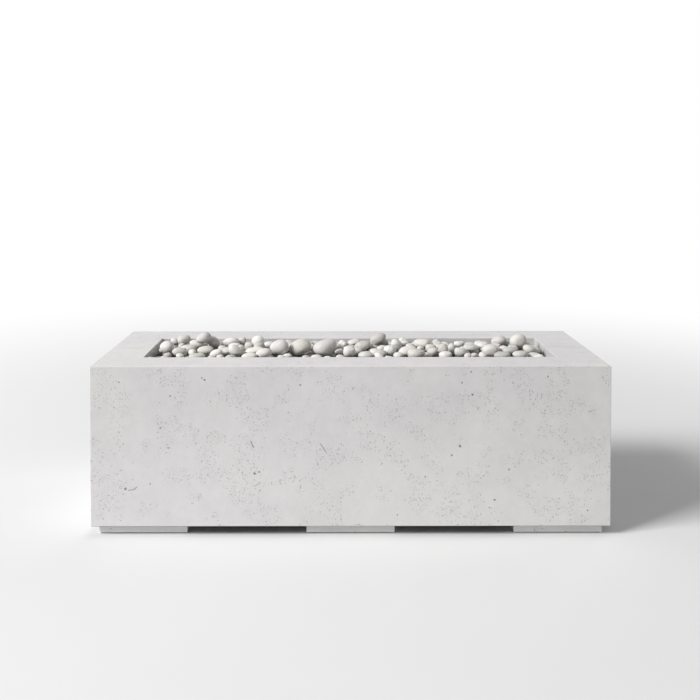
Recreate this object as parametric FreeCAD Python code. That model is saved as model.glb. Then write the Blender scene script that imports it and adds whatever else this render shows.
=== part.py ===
"""Long rectangular gas fire table in cast concrete, 1524 x 560 mm, rim 499 mm above the floor.

Units are millimetres. X runs along the table, the front faces -Y, Z is up, and the origin lies on the
floor under the middle of the table. The control recess is in the right-hand end, the service door and
the gas inlet are in the rear wall.
"""
import FreeCAD, Part
import math
import os
import random

# Overall size, and the cast shell
table_length = 1524.0
table_depth = 560.0
rim_height = 499.0
rim_width = 130.0
rim_thickness = 25.0
wall = 20.0
lip_drop = 70.0
lip_thickness = 20.0
return_width = 80.0
return_thickness = 20.0
arris = 1.5
joint_gap = 2.0
seal_recess = 1.5

# Plinth feet and the pads under them
pad_thickness = 3.0
pad_inset = 5.0
foot_height = 25.0
foot_inset = 20.0
foot_width = 60.0
foot_length = 260.0
foot_return_length = 180.0

# Fits shared by all fasteners and tubes
thread_clearance = 0.05
hole_clearance = 0.3
seat_gap = 0.3
sheet_gap = 0.5

# Plates that join the two halves inside each end
plate_thickness = 5.0
plate_width = 90.0
plate_height = 60.0
plate_low_level = 110.0
plate_high_level = 230.0
insert_radius = 7.0
insert_length = 14.0
bolt_radius = 4.0
bolt_grip = 12.0
bolt_head_radius = 6.5
bolt_head_height = 5.3
washer_radius = 8.0
washer_thickness = 1.6
nut_height = 6.5
nut_flats = 13.0
key_flats = 5.0
key_depth = 2.5

# Rails that tie the front and rear walls above the plinth
rail_width = 40.0
rail_height = 25.0
rail_wall = 2.0
rail_end_gap = 0.5
rail_bolt_inset = 50.0

# Ledge angles under the lip, and the burner pan that sits on them
ledge_thickness = 3.0
ledge_upstand = 37.0
ledge_reach = 15.0
ledge_end_gap = 1.0
screw_radius = 2.5
screw_grip = 12.0
screw_head_radius = 4.5
screw_head_height = 3.0
screw_rise = 20.0
ledge_screw_spacing = 270.0
ledge_screw_share = 0.6
pan_sheet = 1.5
pan_depth = 60.0
pan_wall_gap = 2.0
pan_rim_gap = 3.0
drain_radius = 4.0
drain_spacing = 200.0
drain_row_width = 180.0

# Heat shield under the pan
shield_sheet = 1.0
shield_drop = 23.0
shield_margin = 15.0
shield_upstand = 12.0
shield_port_radius = 40.0
standoff_radius = 6.0
standoff_inset = 60.0
standoff_stud_radius = 2.5
standoff_nut_flats = 8.0
standoff_nut_height = 4.0
standoff_stud_stand = 1.0

# Burner tube and what feeds it
burner_end_room = 65.0
burner_radius = 12.7
burner_wall = 1.5
burner_rise = 26.0
cap_thickness = 3.0
port_radius = 1.6
port_pitch = 45.0
port_angle = 35.0
hub_radius = 10.5
hub_bore = 7.9
hub_length = 19.0
collar_radius = 16.0
collar_height = 4.0
locknut_flats = 34.0
locknut_height = 8.0
stand_thickness = 2.0
stand_width = 20.0
stand_foot = 12.0
stand_shares = (-0.76, -0.27, 0.27, 0.87)
mixer_radius = 15.0
mixer_length = 46.0
mixer_socket = 8.0
mixer_window_width = 10.0
mixer_window_height = 12.0
orifice_spigot_radius = 6.5
orifice_spigot_length = 9.0
orifice_flats = 19.0
orifice_hex_length = 10.0
orifice_bore = 1.2
flare_radius = 7.94
flare_length = 14.0
flare_thread_shown = 1.0
flex_radius = 6.35
flex_wall = 1.0
flex_nut_flats = 22.0
flex_nut_skirt = 6.0
flex_bend = 45.0
flex_drop = 73.0

# Control recess in the right-hand end
control_drop = 169.0
control_middle = 150.0
control_width = 140.0
control_height = 80.0
control_depth = 39.0
control_flange = 15.0
control_sheet = 1.5
control_setback = 1.0
flange_screw_inset = 8.0

# Knob, stem and control valve
knob_offset = -27.0
knob_radius = 19.0
knob_length = 20.0
knob_gap = 7.5
knob_skirt = 4.0
knob_skirt_reach = 2.0
knob_edge = 2.0
knob_flutes = 18
knob_flute_radius = 1.6
pointer_width = 2.4
pointer_depth = 0.8
stem_radius = 3.0
stem_end_cover = 5.0
stem_hole_clearance = 1.0
stem_end_gap = 0.5
running_clearance = 0.05
knob_push = 4.0
valve_neck_radius = 13.0
valve_neck_length = 10.0
valve_block = 38.0
valve_edge = 2.0
push_collar_radius = 7.5
push_collar_thickness = 3.0
push_collar_setback = 16.0
push_collar_clearance = 1.0
valve_screw_radius = 2.0
valve_screw_offset = 9.0
valve_screw_grip = 7.0
valve_screw_head = 3.6
valve_screw_head_height = 2.2
valve_boss_radius = 9.0
valve_boss_length = 8.0

# Igniter
igniter_offset = 38.0
igniter_radius = 11.0
igniter_bezel_radius = 13.0
igniter_bezel_height = 3.5
igniter_body_length = 50.0
button_radius = 8.0
button_length = 19.0
button_stand = 10.0
button_travel = 5.0
button_clearance = 0.3
button_edge = 1.5
button_well_clearance = 2.0
igniter_nut_flats = 28.0

# Pilot position beside the burner, and the leads to it
pilot_from_burner_end = 130.0
electrode_offset = 40.0
probe_offset = 24.0
electrode_radius = 3.5
electrode_height = 40.0
electrode_tip_radius = 1.0
electrode_tip_length = 12.0
probe_radius = 3.2
probe_height = 48.0
probe_rounding = 0.8
pilot_tail = 16.0
pilot_port_radius = 7.0
pilot_sheet = 1.5
pilot_tab_rise = 12.0
pilot_bracket_length = 30.0
pilot_bracket_margin = 8.0
lead_radius = 1.5
lead_bend = 8.0
probe_lead_drop = 12.0

# Gas train behind the rear wall
inlet_from_end = 72.0
inlet_level = 120.0
inlet_hole_radius = 25.0
inlet_setback = 5.0
inlet_plate_size = 84.0
inlet_plate_thickness = 3.0
inlet_collar_radius = 14.0
inlet_collar_length = 6.0
nipple_radius = 6.35
nipple_wall = 1.3
socket_depth = 10.0
shutoff_length = 60.0
shutoff_radius = 12.0
shutoff_ball_radius = 17.0
shutoff_gap = 30.0
shutoff_stem_radius = 5.0
shutoff_tower_radius = 8.0
shutoff_tower_height = 23.0
lever_length = 72.0
lever_width = 14.0
lever_thickness = 3.0
lever_hub_radius = 10.0
regulator_radius = 32.0
regulator_height = 34.0
regulator_boss_radius = 12.0
regulator_boss_length = 12.0
regulator_bonnet_radius = 18.0
regulator_bonnet_height = 12.0
link_gap = 8.0
riser_reach = 35.0
riser_bend = 25.0
bracket_thickness = 3.0
bracket_width = 40.0

# Service door in the rear wall
door_from_end = 142.0
door_width = 320.0
door_height = 220.0
door_bottom = 95.0
door_lining = 2.0
door_flange = 15.0
door_setback = 2.0
door_gap = 3.0
door_sheet = 1.5
door_fold = 10.0
door_face_setback = 8.0
knuckle_radius = 3.5
knuckle_length = 16.0
knuckle_gap = 0.3
knuckle_jamb_gap = 1.5
knuckle_face_gap = 0.5
leaf_strip = 1.0
hinge_pin_radius = 1.6
hinge_pin_head = 2.6
hinge_pin_head_height = 1.0
hinge_inset = 40.0
leaf_thickness = 1.5
leaf_width = 22.0
pull_radius = 9.0
pull_height = 6.0
pull_neck_radius = 4.0
pull_inset = 25.0
catch_width = 32.0
catch_height = 30.0
catch_depth = 11.0
keeper_width = 12.0
keeper_height = 26.0

# Fillings of the fire opening
rock_depth_below_rim = 36.0
rock_gap = 1.0
rock_nut_room = 3.0
stone_seat = 0.3
stone_start_gap = 1.0
stone_greatest_lift = 9
stone_wall_gap = 0.6
lower_stone_length = (34.0, 48.0)
lower_stone_thickness = (0.42, 0.52)
upper_stone_length = (36.0, 54.0)
upper_stone_thickness = (0.50, 0.66)
stone_width_ratio = (0.70, 0.88)
stone_misses = 26
stone_shrink = 0.86
stone_shrink_steps = 3
stone_choices = 7
bed_below_rim = 4.0
bed_edge_drop = 14.0
bed_edge_run = 75.0
stone_seed = 11
golden_share = 0.618
share_steps = 9
settle_steps = 8

# Upper stones set by hand: along, back, length, width, thickness, turn and lift of the long axis
placed_stones = (
    (-614, -131, 34, 28, 21, 5, 0),
    (-196, -77, 35, 29, 18, 13, 0),
    (-476, -98, 56, 48, 21, 11, 0),
    (581, -77, 44, 35, 21, -21, 0),
    (-313, -92, 56, 46, 21, 20, 0),
    (394, -59, 30, 22, 19, 18, 0),
    (477, -89, 56, 43, 24, -1, 0),
    (-572, -80, 27, 21, 22, 2, 0),
    (-359, -53, 25, 19, 16, -21, 0),
    (50, -98, 50, 42, 22, -10, 0),
    (534, -92, 59, 44, 26, 12, 0),
    (206, -125, 62, 46, 33, 13, 0),
    (-420, -71, 48, 36, 30, 5, 15),
    (102, -53, 36, 31, 28, -22, 0),
    (-265, -101, 50, 38, 32, -13, 8),
    (-397, -32, 55, 46, 25, 21, 18),
    (353, -56, 48, 41, 33, -9, -15),
    (0, -77, 44, 36, 38, 2, 0),
    (266, -32, 40, 34, 32, -13, 0),
    (449, -41, 61, 52, 43, 8, 0),
    (-538, -53, 53, 40, 32, 17, -10),
    (184, -50, 68, 51, 32, -6, 15),
    (400, -2, 40, 29, 22, -16, 0),
    (-458, -41, 58, 47, 32, -9, 10),
    (129, -26, 43, 35, 35, -22, 0),
    (-361, -68, 47, 36, 35, -7, -18),
    (513, -32, 58, 45, 26, 14, 0),
    (579, -26, 55, 44, 33, -8, -14),
    (-304, -11, 65, 47, 25, 9, 8),
    (-75, -59, 89, 64, 57, 21, 20),
    (-520, -2, 57, 47, 31, 11, 0),
    (329, -17, 31, 27, 41, -21, 0),
    (-159, -32, 79, 64, 52, -6, 20),
    (82, 37, 34, 25, 31, -22, 0),
    (297, -50, 38, 33, 38, -14, 0),
    (-222, -59, 64, 53, 50, -13, 14),
    (-349, 1, 24, 22, 28, 19, 0),
    (-587, -17, 48, 37, 45, -7, 0),
    (265, 13, 42, 35, 26, 1, 0),
    (388, -23, 51, 42, 25, -17, 0),
    (44, 16, 62, 52, 37, 13, 18),
    (504, 34, 29, 25, 16, -20, 0),
    (-330, 58, 33, 25, 32, -18, 0),
    (156, 55, 47, 40, 37, 5, -18),
    (-198, 52, 43, 36, 33, -7, 0),
    (113, 88, 45, 35, 31, 2, 12),
    (-21, 94, 33, 25, 30, -8, 0),
    (-451, 94, 37, 28, 19, -19, -10),
    (-504, 73, 54, 46, 29, 8, -12),
    (241, 73, 68, 49, 36, -15, 0),
    (557, 52, 63, 50, 52, 21, 10),
    (-398, 91, 68, 51, 34, -4, 12),
    (295, 127, 29, 24, 22, 4, 0),
    (-450, 67, 53, 41, 35, -2, -28),
    (501, 100, 55, 47, 36, -20, 18),
    (-304, 94, 46, 37, 40, -21, 28),
    (187, 124, 46, 34, 27, 15, -20),
    (16, 109, 50, 43, 20, 10, 16),
    (-357, 112, 29, 24, 29, 6, 0),
    (-589, 136, 32, 25, 25, -17, -30),
    (-486, 136, 27, 23, 27, -15, 0),
    (95, 58, 61, 48, 39, -9, 26),
    (-555, 124, 48, 40, 36, 22, 15),
    (-113, 130, 38, 29, 19, 21, 10),
    (-475, 34, 56, 46, 36, -1, 20),
)

# Planes and centres that follow from the sizes above
half_length = table_length / 2
half_depth = table_depth / 2
shell_bottom = pad_thickness + foot_height
inner_end = half_length - wall
inner_back = half_depth - wall
opening_end = half_length - rim_width
opening_side = half_depth - rim_width
lip_bottom = rim_height - lip_drop
control_level = rim_height - control_drop
return_top = shell_bottom + return_thickness
foot_gap = (table_length - 2 * foot_inset - 3 * foot_length) / 2
rail_along = foot_length / 2 + foot_gap / 2
plate_levels = (plate_low_level, plate_high_level)

ledge_inner_end = opening_end - ledge_reach
ledge_inner_side = opening_side - ledge_reach
pan_end = ledge_inner_end - pan_wall_gap
pan_side = ledge_inner_side - pan_wall_gap
pan_top = lip_bottom + pan_sheet
pan_bottom = lip_bottom - pan_depth
pan_floor = pan_bottom + pan_sheet
burner_length = 2 * (pan_end - burner_end_room)
pilot_along = burner_length / 2 - pilot_from_burner_end
burner_level = pan_floor + burner_rise
shield_top = pan_bottom - shield_drop
hub_bottom = pan_bottom - hub_length
mixer_top = hub_bottom + mixer_socket
mixer_bottom = mixer_top - mixer_length
orifice_shoulder = mixer_bottom
orifice_flare_top = orifice_shoulder - orifice_hex_length
orifice_bottom = orifice_flare_top - flare_length
flex_level = orifice_bottom - flex_drop

control_face = half_length - control_depth
plate_rear = control_face - control_sheet
knob_middle = control_middle + knob_offset
igniter_middle = control_middle + igniter_offset
knob_back = control_face + knob_gap
knob_front = knob_back + knob_length
valve_front = plate_rear - valve_neck_length
valve_rear = valve_front - valve_block
valve_along = (valve_front + valve_rear) / 2
valve_bottom = control_level - valve_block / 2
valve_flare_top = valve_bottom
valve_flare_bottom = valve_flare_top - flare_length
stem_rear = valve_rear + 2 * knob_push + stem_end_gap
stem_front = knob_front - stem_end_cover
igniter_rear = plate_rear - igniter_body_length

inlet_along = half_length - inlet_from_end
inlet_tip = half_depth - inlet_setback
plate_face = inner_back - inlet_plate_thickness
nipple_start = plate_face - inlet_collar_length
shutoff_rear_end = nipple_start - shutoff_gap + socket_depth
shutoff_middle = shutoff_rear_end - shutoff_length / 2
shutoff_front_end = shutoff_rear_end - shutoff_length
regulator_middle = shutoff_front_end - link_gap - regulator_boss_length - regulator_radius
regulator_bottom = inlet_level - regulator_height / 2
regulator_front = regulator_middle - regulator_radius - regulator_boss_length
lever_level = inlet_level + shutoff_tower_height

rock_top = rim_height - rock_depth_below_rim

door_right = half_length - door_from_end
door_left = door_right - door_width
door_top = door_bottom + door_height
lining_left = door_left + sheet_gap
lining_right = door_right - sheet_gap
lining_bottom = door_bottom + sheet_gap
lining_top = door_top - sheet_gap
jamb_left = lining_left + door_lining
jamb_right = lining_right - door_lining
sill = lining_bottom + door_lining
head = lining_top - door_lining
hinge_along = jamb_left + knuckle_radius + knuckle_jamb_gap
hinge_back = half_depth - knuckle_radius - knuckle_face_gap
door_face = half_depth - door_face_setback
door_rear = door_face - door_fold
panel_left = hinge_along + knuckle_jamb_gap + hinge_pin_radius
panel_right = jamb_right - door_gap
panel_bottom = sill + door_gap
panel_top = head - door_gap
hinge_levels = (panel_bottom + hinge_inset, panel_top - hinge_inset)

tiny = 0.01

X = FreeCAD.Vector(1, 0, 0)
Y = FreeCAD.Vector(0, 1, 0)
Z = FreeCAD.Vector(0, 0, 1)


def at(x, y, z):
    """A point."""
    return FreeCAD.Vector(x, y, z)


def block(x0, x1, y0, y1, z0, z1):
    """A box between two corners."""
    return Part.makeBox(x1 - x0, y1 - y0, z1 - z0, at(x0, y0, z0))


def rod(start, axis, radius, length):
    """A round bar from a point along an axis."""
    return Part.makeCylinder(radius, length, start, axis)


def sleeve(start, axis, outer, inner, length):
    """A round bar with a bore right through."""
    return rod(start, axis, outer, length).cut(rod(start, axis, inner, length))


def hexagon(start, axis, flats, length):
    """A six-sided bar from a point along an axis."""
    side = Y if abs(axis.x) > 0.5 else X
    up = axis.cross(side)
    corner = flats / math.sqrt(3)
    points = []
    for number in range(7):
        turn = math.radians(60 * number)
        points.append(start + side * (corner * math.cos(turn)) + up * (corner * math.sin(turn)))
    return Part.Face(Part.makePolygon(points)).extrude(axis * length)


def joined(shapes):
    """One solid from touching or crossing shapes."""
    whole = shapes[0].multiFuse(shapes[1:]).removeSplitter()
    return whole.Solids[0] if len(whole.Solids) == 1 else whole


def save(name, shapes):
    """Write one node, from a shape or a list of separate solids."""
    solids = []
    for shape in shapes if isinstance(shapes, list) else [shapes]:
        solids.extend(shape.Solids)
    kept = solids[0] if len(solids) == 1 else Part.makeCompound(solids)
    kept.exportStep("parts/" + name + ".step")
    print(name, len(solids))


def socket_screw(seat, axis, radius, length, head_radius, head_height):
    """A cap screw: its shank runs from the seat along the axis, its head stands the other way."""
    shank = rod(seat, axis, radius, length)
    crown = rod(seat, axis * -1, head_radius, head_height)
    recess = hexagon(seat - axis * head_height, axis, radius * 1.2, head_height / 2)
    return joined([shank, crown]).cut(recess)


def bent_path(points, bend):
    """Straight runs through the points, joined by tangent arcs of one radius."""
    edges = []
    start = points[0]
    for before, corner, after in zip(points, points[1:], points[2:]):
        incoming = (corner - before).normalize()
        outgoing = (after - corner).normalize()
        turn = incoming.getAngle(outgoing)
        back = bend * math.tan(turn / 2)
        entry = corner - incoming * back
        leave = corner + outgoing * back
        inward = (outgoing - incoming).normalize()
        centre = corner + inward * (bend / math.cos(turn / 2))
        middle = centre - inward * bend
        edges.append(Part.LineSegment(start, entry).toShape())
        edges.append(Part.Arc(entry, middle, leave).toShape())
        start = leave
    edges.append(Part.LineSegment(start, points[-1]).toShape())
    return Part.Wire(edges)


def swept(points, bend, radius):
    """A round bar along a bent path."""
    path = bent_path(points, bend)
    axis = (points[1] - points[0]).normalize()
    ring = Part.Wire(Part.Circle(points[0], axis, radius).toShape())
    return path.makePipeShell([ring], True, False)


def shell_whole():
    """Both halves as one casting: walls, rim, down-turned lip and bottom return, with small arrises."""
    solid = block(-half_length, half_length, -half_depth, half_depth, shell_bottom, rim_height)
    solid = solid.makeChamfer(arris, solid.Edges)
    hollow = block(-inner_end, inner_end, -inner_back, inner_back, return_top, rim_height - rim_thickness)
    lip = block(
        -opening_end - lip_thickness, opening_end + lip_thickness,
        -opening_side - lip_thickness, opening_side + lip_thickness,
        lip_bottom, rim_height,
    )
    under_end = half_length - return_width
    under_side = half_depth - return_width
    under = block(-under_end, under_end, -under_side, under_side, shell_bottom, return_top)
    opening = block(
        -opening_end, opening_end, -opening_side, opening_side, lip_bottom, rim_height,
    )
    edge = block(
        -opening_end - arris, opening_end + arris, -opening_side - arris, opening_side + arris,
        rim_height - arris, rim_height + arris,
    )
    lower_edges = [line for line in edge.Edges if abs(line.BoundBox.ZMax - edge.BoundBox.ZMin) < tiny]
    bevel = edge.makeChamfer(arris, lower_edges)
    return solid.cut(hollow.cut(lip)).cut(under).cut(opening).cut(bevel)


def joint_bolt_seats():
    """Seats of the bolts on the inner faces of the end joint plates, with the way each bolt points."""
    seats = []
    for side in (-1, 1):
        for level in plate_levels:
            for half in (-1, 1):
                point = at(side * (inner_end - plate_thickness), half * plate_width / 4, level)
                seats.append((point, X * side))
    return seats


def insert_solids():
    """Threaded inserts cast into the end walls."""
    made = []
    for seat, axis in joint_bolt_seats():
        start = seat + axis * plate_thickness
        made.append(sleeve(start, axis, insert_radius, bolt_radius + thread_clearance, insert_length))
    return made


def ledge_screw_seats():
    """Seats of the screws that hold the ledge angles against the hidden face of the lip."""
    level = lip_bottom + screw_rise
    seats = []
    for side in (-1, 1):
        back = side * (opening_side + lip_thickness + ledge_thickness)
        for step in range(-2, 3):
            seats.append((at(step * ledge_screw_spacing, back, level), Y * -side))
        along = side * (opening_end + lip_thickness + ledge_thickness)
        for half in (-1, 1):
            seats.append((at(along, half * ledge_inner_side * ledge_screw_share, level), X * -side))
    return seats


def wall_screw_seats():
    """Seats of the screws through the sheet flanges into the inner faces of the walls."""
    seats = []
    reach_across = control_width / 2 + control_flange - flange_screw_inset
    reach_up = control_height / 2 + control_flange - flange_screw_inset
    for across in (-1, 1):
        for up in (-1, 1):
            point = at(
                inner_end - control_sheet,
                control_middle + across * reach_across,
                control_level + up * reach_up,
            )
            seats.append((point, X, control_sheet))
    for along in (door_left - flange_screw_inset, door_right + flange_screw_inset):
        for level in (door_bottom - flange_screw_inset, door_top + flange_screw_inset):
            seats.append((at(along, inner_back - door_lining, level), Y, door_lining))
    corner = inlet_plate_size / 2 - flange_screw_inset
    for along in (-corner, corner):
        for up in (-corner, corner):
            seats.append((at(inlet_along + along, plate_face, inlet_level + up), Y, inlet_plate_thickness))
    return seats


def rail_bolt_points():
    """Places of the bolts that hold the cross rails down on the bottom return."""
    back = half_depth - rail_bolt_inset
    return [(side * rail_along, half * back) for side in (-1, 1) for half in (-1, 1)]


def shell_holes():
    """Everything that is drilled or cut out of the two cast halves."""
    holes = []
    for seat, axis in joint_bolt_seats():
        holes.append(rod(seat + axis * plate_thickness, axis, insert_radius, insert_length))
    for seat, axis in ledge_screw_seats():
        holes.append(rod(seat, axis, screw_radius + thread_clearance, screw_grip + ledge_thickness))
    for seat, axis, sheet in wall_screw_seats():
        holes.append(rod(seat, axis, screw_radius + thread_clearance, screw_grip + sheet))
    for along, back in rail_bolt_points():
        holes.append(rod(at(along, back, shell_bottom), Z, bolt_radius + hole_clearance, return_thickness))
    holes.append(block(door_left, door_right, inner_back, half_depth, door_bottom, door_top))
    holes.append(rod(at(inlet_along, inner_back, inlet_level), Y, inlet_hole_radius, wall))
    holes.append(block(
        inner_end, half_length,
        control_middle - control_width / 2, control_middle + control_width / 2,
        control_level - control_height / 2, control_level + control_height / 2,
    ))
    return holes


def build_shell():
    """The front and rear cast halves, parted at the middle of each end, and the seal between them."""
    whole = shell_whole()
    front_side = block(
        -half_length, half_length, -half_depth, -joint_gap / 2, shell_bottom, rim_height,
    )
    rear_side = block(
        -half_length, half_length, joint_gap / 2, half_depth, shell_bottom, rim_height,
    )
    holes = Part.makeCompound(shell_holes())
    save("shell_front_half", whole.common(front_side).cut(holes))
    save("shell_rear_half", whole.common(rear_side).cut(holes))
    slot = block(
        -half_length + arris + seal_recess, half_length - arris - seal_recess,
        -joint_gap / 2, joint_gap / 2,
        shell_bottom + arris + seal_recess, rim_height - arris - seal_recess,
    )
    beads = whole.common(slot)
    save("end_joint_seals", beads)


def build_joint_plates():
    """Steel plates, inserts, washers and bolts that hold the two halves together."""
    plates = []
    for side in (-1, 1):
        for level in plate_levels:
            near = side * inner_end
            far = side * (inner_end - plate_thickness)
            plate = block(
                min(near, far), max(near, far), -plate_width / 2, plate_width / 2,
                level - plate_height / 2, level + plate_height / 2,
            )
            for seat, axis in joint_bolt_seats():
                plate = plate.cut(rod(seat, axis, bolt_radius + hole_clearance, plate_thickness))
            plates.append(plate)
    save("joint_plates", plates)
    save("joint_plate_inserts", insert_solids())
    washers = []
    bolts = []
    for seat, axis in joint_bolt_seats():
        start = seat - axis * washer_thickness
        washers.append(sleeve(start, axis, washer_radius, bolt_radius + hole_clearance, washer_thickness))
        length = washer_thickness + plate_thickness + bolt_grip
        bolts.append(socket_screw(start, axis, bolt_radius, length, bolt_head_radius, bolt_head_height))
    save("joint_plate_washers", washers)
    return bolts


def foot(side, face):
    """One plinth foot: an L at a corner, a straight block in the middle."""
    outer_end = half_length - foot_inset
    outer_side = half_depth - foot_inset
    near = face * outer_side
    far = face * (outer_side - foot_width)
    low = min(near, far)
    high = max(near, far)
    if side == 0:
        return block(-foot_length / 2, foot_length / 2, low, high, pad_thickness, shell_bottom)
    left = min(side * outer_end, side * (outer_end - foot_length))
    bar = block(left, left + foot_length, low, high, pad_thickness, shell_bottom)
    inner = min(side * outer_end, side * (outer_end - foot_width))
    turn = face * (outer_side - foot_return_length)
    leg = block(inner, inner + foot_width, min(near, turn), max(near, turn), pad_thickness, shell_bottom)
    return joined([bar, leg])


def foot_pad(side, face):
    """Rubber strips under one foot, set in from its edges."""
    outer_end = half_length - foot_inset
    outer_side = half_depth - foot_inset
    near = face * (outer_side - pad_inset)
    far = face * (outer_side - foot_width + pad_inset)
    low = min(near, far)
    high = max(near, far)
    if side == 0:
        reach = foot_length / 2 - pad_inset
        return [block(-reach, reach, low, high, 0, pad_thickness)]
    ends = (side * (outer_end - pad_inset), side * (outer_end - foot_length + pad_inset))
    strips = [block(min(ends), max(ends), low, high, 0, pad_thickness)]
    ends = (side * (outer_end - pad_inset), side * (outer_end - foot_width + pad_inset))
    turn_start = face * (outer_side - foot_width - pad_inset)
    turn_end = face * (outer_side - foot_return_length + pad_inset)
    turns = (turn_start, turn_end)
    strips.append(block(min(ends), max(ends), min(turns), max(turns), 0, pad_thickness))
    return strips


def build_plinth():
    """Six cast feet and their pads."""
    names = {-1: "left", 0: "centre", 1: "right"}
    pads = []
    for face, face_name in ((-1, "front"), (1, "rear")):
        for side in (-1, 0, 1):
            save("plinth_foot_" + face_name + "_" + names[side], foot(side, face))
            pads.extend(foot_pad(side, face))
    save("foot_pads", pads)


def build_cross_rails():
    """Two rectangular steel tubes across the table, bolted to the bottom returns."""
    reach = inner_back - rail_end_gap
    rails = []
    for side in (-1, 1):
        left = side * rail_along - rail_width / 2
        rail = block(left, left + rail_width, -reach, reach, return_top, return_top + rail_height)
        rail = rail.cut(block(
            left + rail_wall, left + rail_width - rail_wall, -reach, reach,
            return_top + rail_wall, return_top + rail_height - rail_wall,
        ))
        for along, back in rail_bolt_points():
            rail = rail.cut(rod(at(along, back, return_top), Z, bolt_radius + hole_clearance, rail_height))
        rails.append(rail)
    save("cross_rails", rails)
    bolts = []
    nuts = []
    length = return_thickness + rail_height + nut_height
    for along, back in rail_bolt_points():
        seat = at(along, back, shell_bottom)
        bolts.append(socket_screw(seat, Z, bolt_radius, length, bolt_head_radius, bolt_head_height))
        top = at(along, back, return_top + rail_height)
        bore = rod(top, Z, bolt_radius + thread_clearance, nut_height)
        nuts.append(hexagon(top, Z, nut_flats, nut_height).cut(bore))
    return bolts, nuts


def build_ledges():
    """Four steel angles screwed behind the lip: each has an upstand and a leg under the lip."""
    reach = opening_end + lip_thickness + ledge_thickness
    drill = Part.makeCompound([
        rod(seat, axis, screw_radius + hole_clearance, ledge_thickness) for seat, axis in ledge_screw_seats()
    ])
    long_ledges = []
    for face in (-1, 1):
        behind = face * (opening_side + lip_thickness + ledge_thickness)
        lip_back = face * (opening_side + lip_thickness)
        inner = face * ledge_inner_side
        leg = block(
            -reach, reach, min(behind, inner), max(behind, inner), lip_bottom - ledge_thickness, lip_bottom,
        )
        upstand = block(
            -reach, reach, min(behind, lip_back), max(behind, lip_back),
            lip_bottom, lip_bottom + ledge_upstand,
        )
        long_ledges.append(joined([leg, upstand]).cut(drill))
    save("pan_ledges_long", long_ledges)
    short_ledges = []
    run = ledge_inner_side - ledge_end_gap
    for side in (-1, 1):
        behind = side * (opening_end + lip_thickness + ledge_thickness)
        lip_back = side * (opening_end + lip_thickness)
        inner = side * ledge_inner_end
        leg = block(
            min(behind, inner), max(behind, inner), -run, run, lip_bottom - ledge_thickness, lip_bottom,
        )
        upstand = block(
            min(behind, lip_back), max(behind, lip_back), -run, run, lip_bottom, lip_bottom + ledge_upstand,
        )
        short_ledges.append(joined([leg, upstand]).cut(drill))
    save("pan_ledges_short", short_ledges)
    screws = []
    for seat, axis in ledge_screw_seats():
        screws.append(socket_screw(
            seat, axis, screw_radius, ledge_thickness + screw_grip, screw_head_radius, screw_head_height,
        ))
    return screws


def standoff_points():
    """Places of the standoffs between the pan and the heat shield."""
    along = pan_end - standoff_inset
    back = pan_side - standoff_inset
    return [(side * along, half * back) for side in (-1, 1) for half in (-1, 1)]


def build_pan():
    """Folded steel pan with a rim that lies on the ledges."""
    body = block(-pan_end, pan_end, -pan_side, pan_side, pan_bottom, pan_top)
    rim_end = opening_end - pan_rim_gap
    rim_side = opening_side - pan_rim_gap
    rim = block(-rim_end, rim_end, -rim_side, rim_side, lip_bottom, pan_top)
    inside = block(
        -pan_end + pan_sheet, pan_end - pan_sheet, -pan_side + pan_sheet, pan_side - pan_sheet,
        pan_floor, pan_top,
    )
    holes = [rod(at(0, 0, pan_bottom), Z, hub_radius + hole_clearance, pan_sheet)]
    for offset in (electrode_offset, probe_offset):
        holes.append(rod(at(pilot_along, offset, pan_bottom), Z, pilot_port_radius, pan_sheet))
    count = int((pan_end - standoff_inset) / drain_spacing)
    for step in range(-count, count + 1):
        for half in (-1, 1):
            middle = at(step * drain_spacing, half * drain_row_width / 2, pan_bottom)
            holes.append(rod(middle, Z, drain_radius, pan_sheet))
    for along, back in standoff_points():
        holes.append(rod(at(along, back, pan_bottom), Z, standoff_stud_radius + hole_clearance, pan_sheet))
    save("burner_pan", joined([body, rim]).cut(inside).cut(Part.makeCompound(holes)))


def build_shield():
    """Heat shield tray hung under the pan on four standoffs."""
    end = pan_end - shield_margin
    side = pan_side - shield_margin
    bottom = shield_top - shield_sheet
    tray = block(-end, end, -side, side, bottom, bottom + shield_upstand)
    tray = tray.cut(block(
        -end + shield_sheet, end - shield_sheet, -side + shield_sheet, side - shield_sheet,
        shield_top, bottom + shield_upstand,
    ))
    holes = [rod(at(0, 0, bottom), Z, shield_port_radius, shield_sheet)]
    pilot_middle = (electrode_offset + probe_offset) / 2
    holes.append(rod(at(pilot_along, pilot_middle, bottom), Z, shield_port_radius / 2, shield_sheet))
    standoffs = []
    screws = []
    nuts = []
    for along, back in standoff_points():
        holes.append(rod(at(along, back, bottom), Z, standoff_stud_radius + hole_clearance, shield_sheet))
        post = rod(at(along, back, shield_top), Z, standoff_radius, shield_drop)
        thread_radius = standoff_stud_radius + thread_clearance
        post = post.cut(rod(at(along, back, shield_top), Z, thread_radius, shield_drop / 2))
        stud_length = pan_sheet + standoff_nut_height + standoff_stud_stand
        stud = rod(at(along, back, pan_bottom), Z, standoff_stud_radius, stud_length)
        standoffs.append(joined([post, stud]))
        screws.append(socket_screw(
            at(along, back, bottom), Z, standoff_stud_radius, shield_sheet + shield_drop / 3,
            screw_head_radius, screw_head_height,
        ))
        top = at(along, back, pan_floor)
        bore = rod(top, Z, thread_radius, standoff_nut_height)
        nuts.append(hexagon(top, Z, standoff_nut_flats, standoff_nut_height).cut(bore))
    save("heat_shield", tray.cut(Part.makeCompound(holes)))
    save("shield_standoffs", standoffs)
    return screws, nuts


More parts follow.
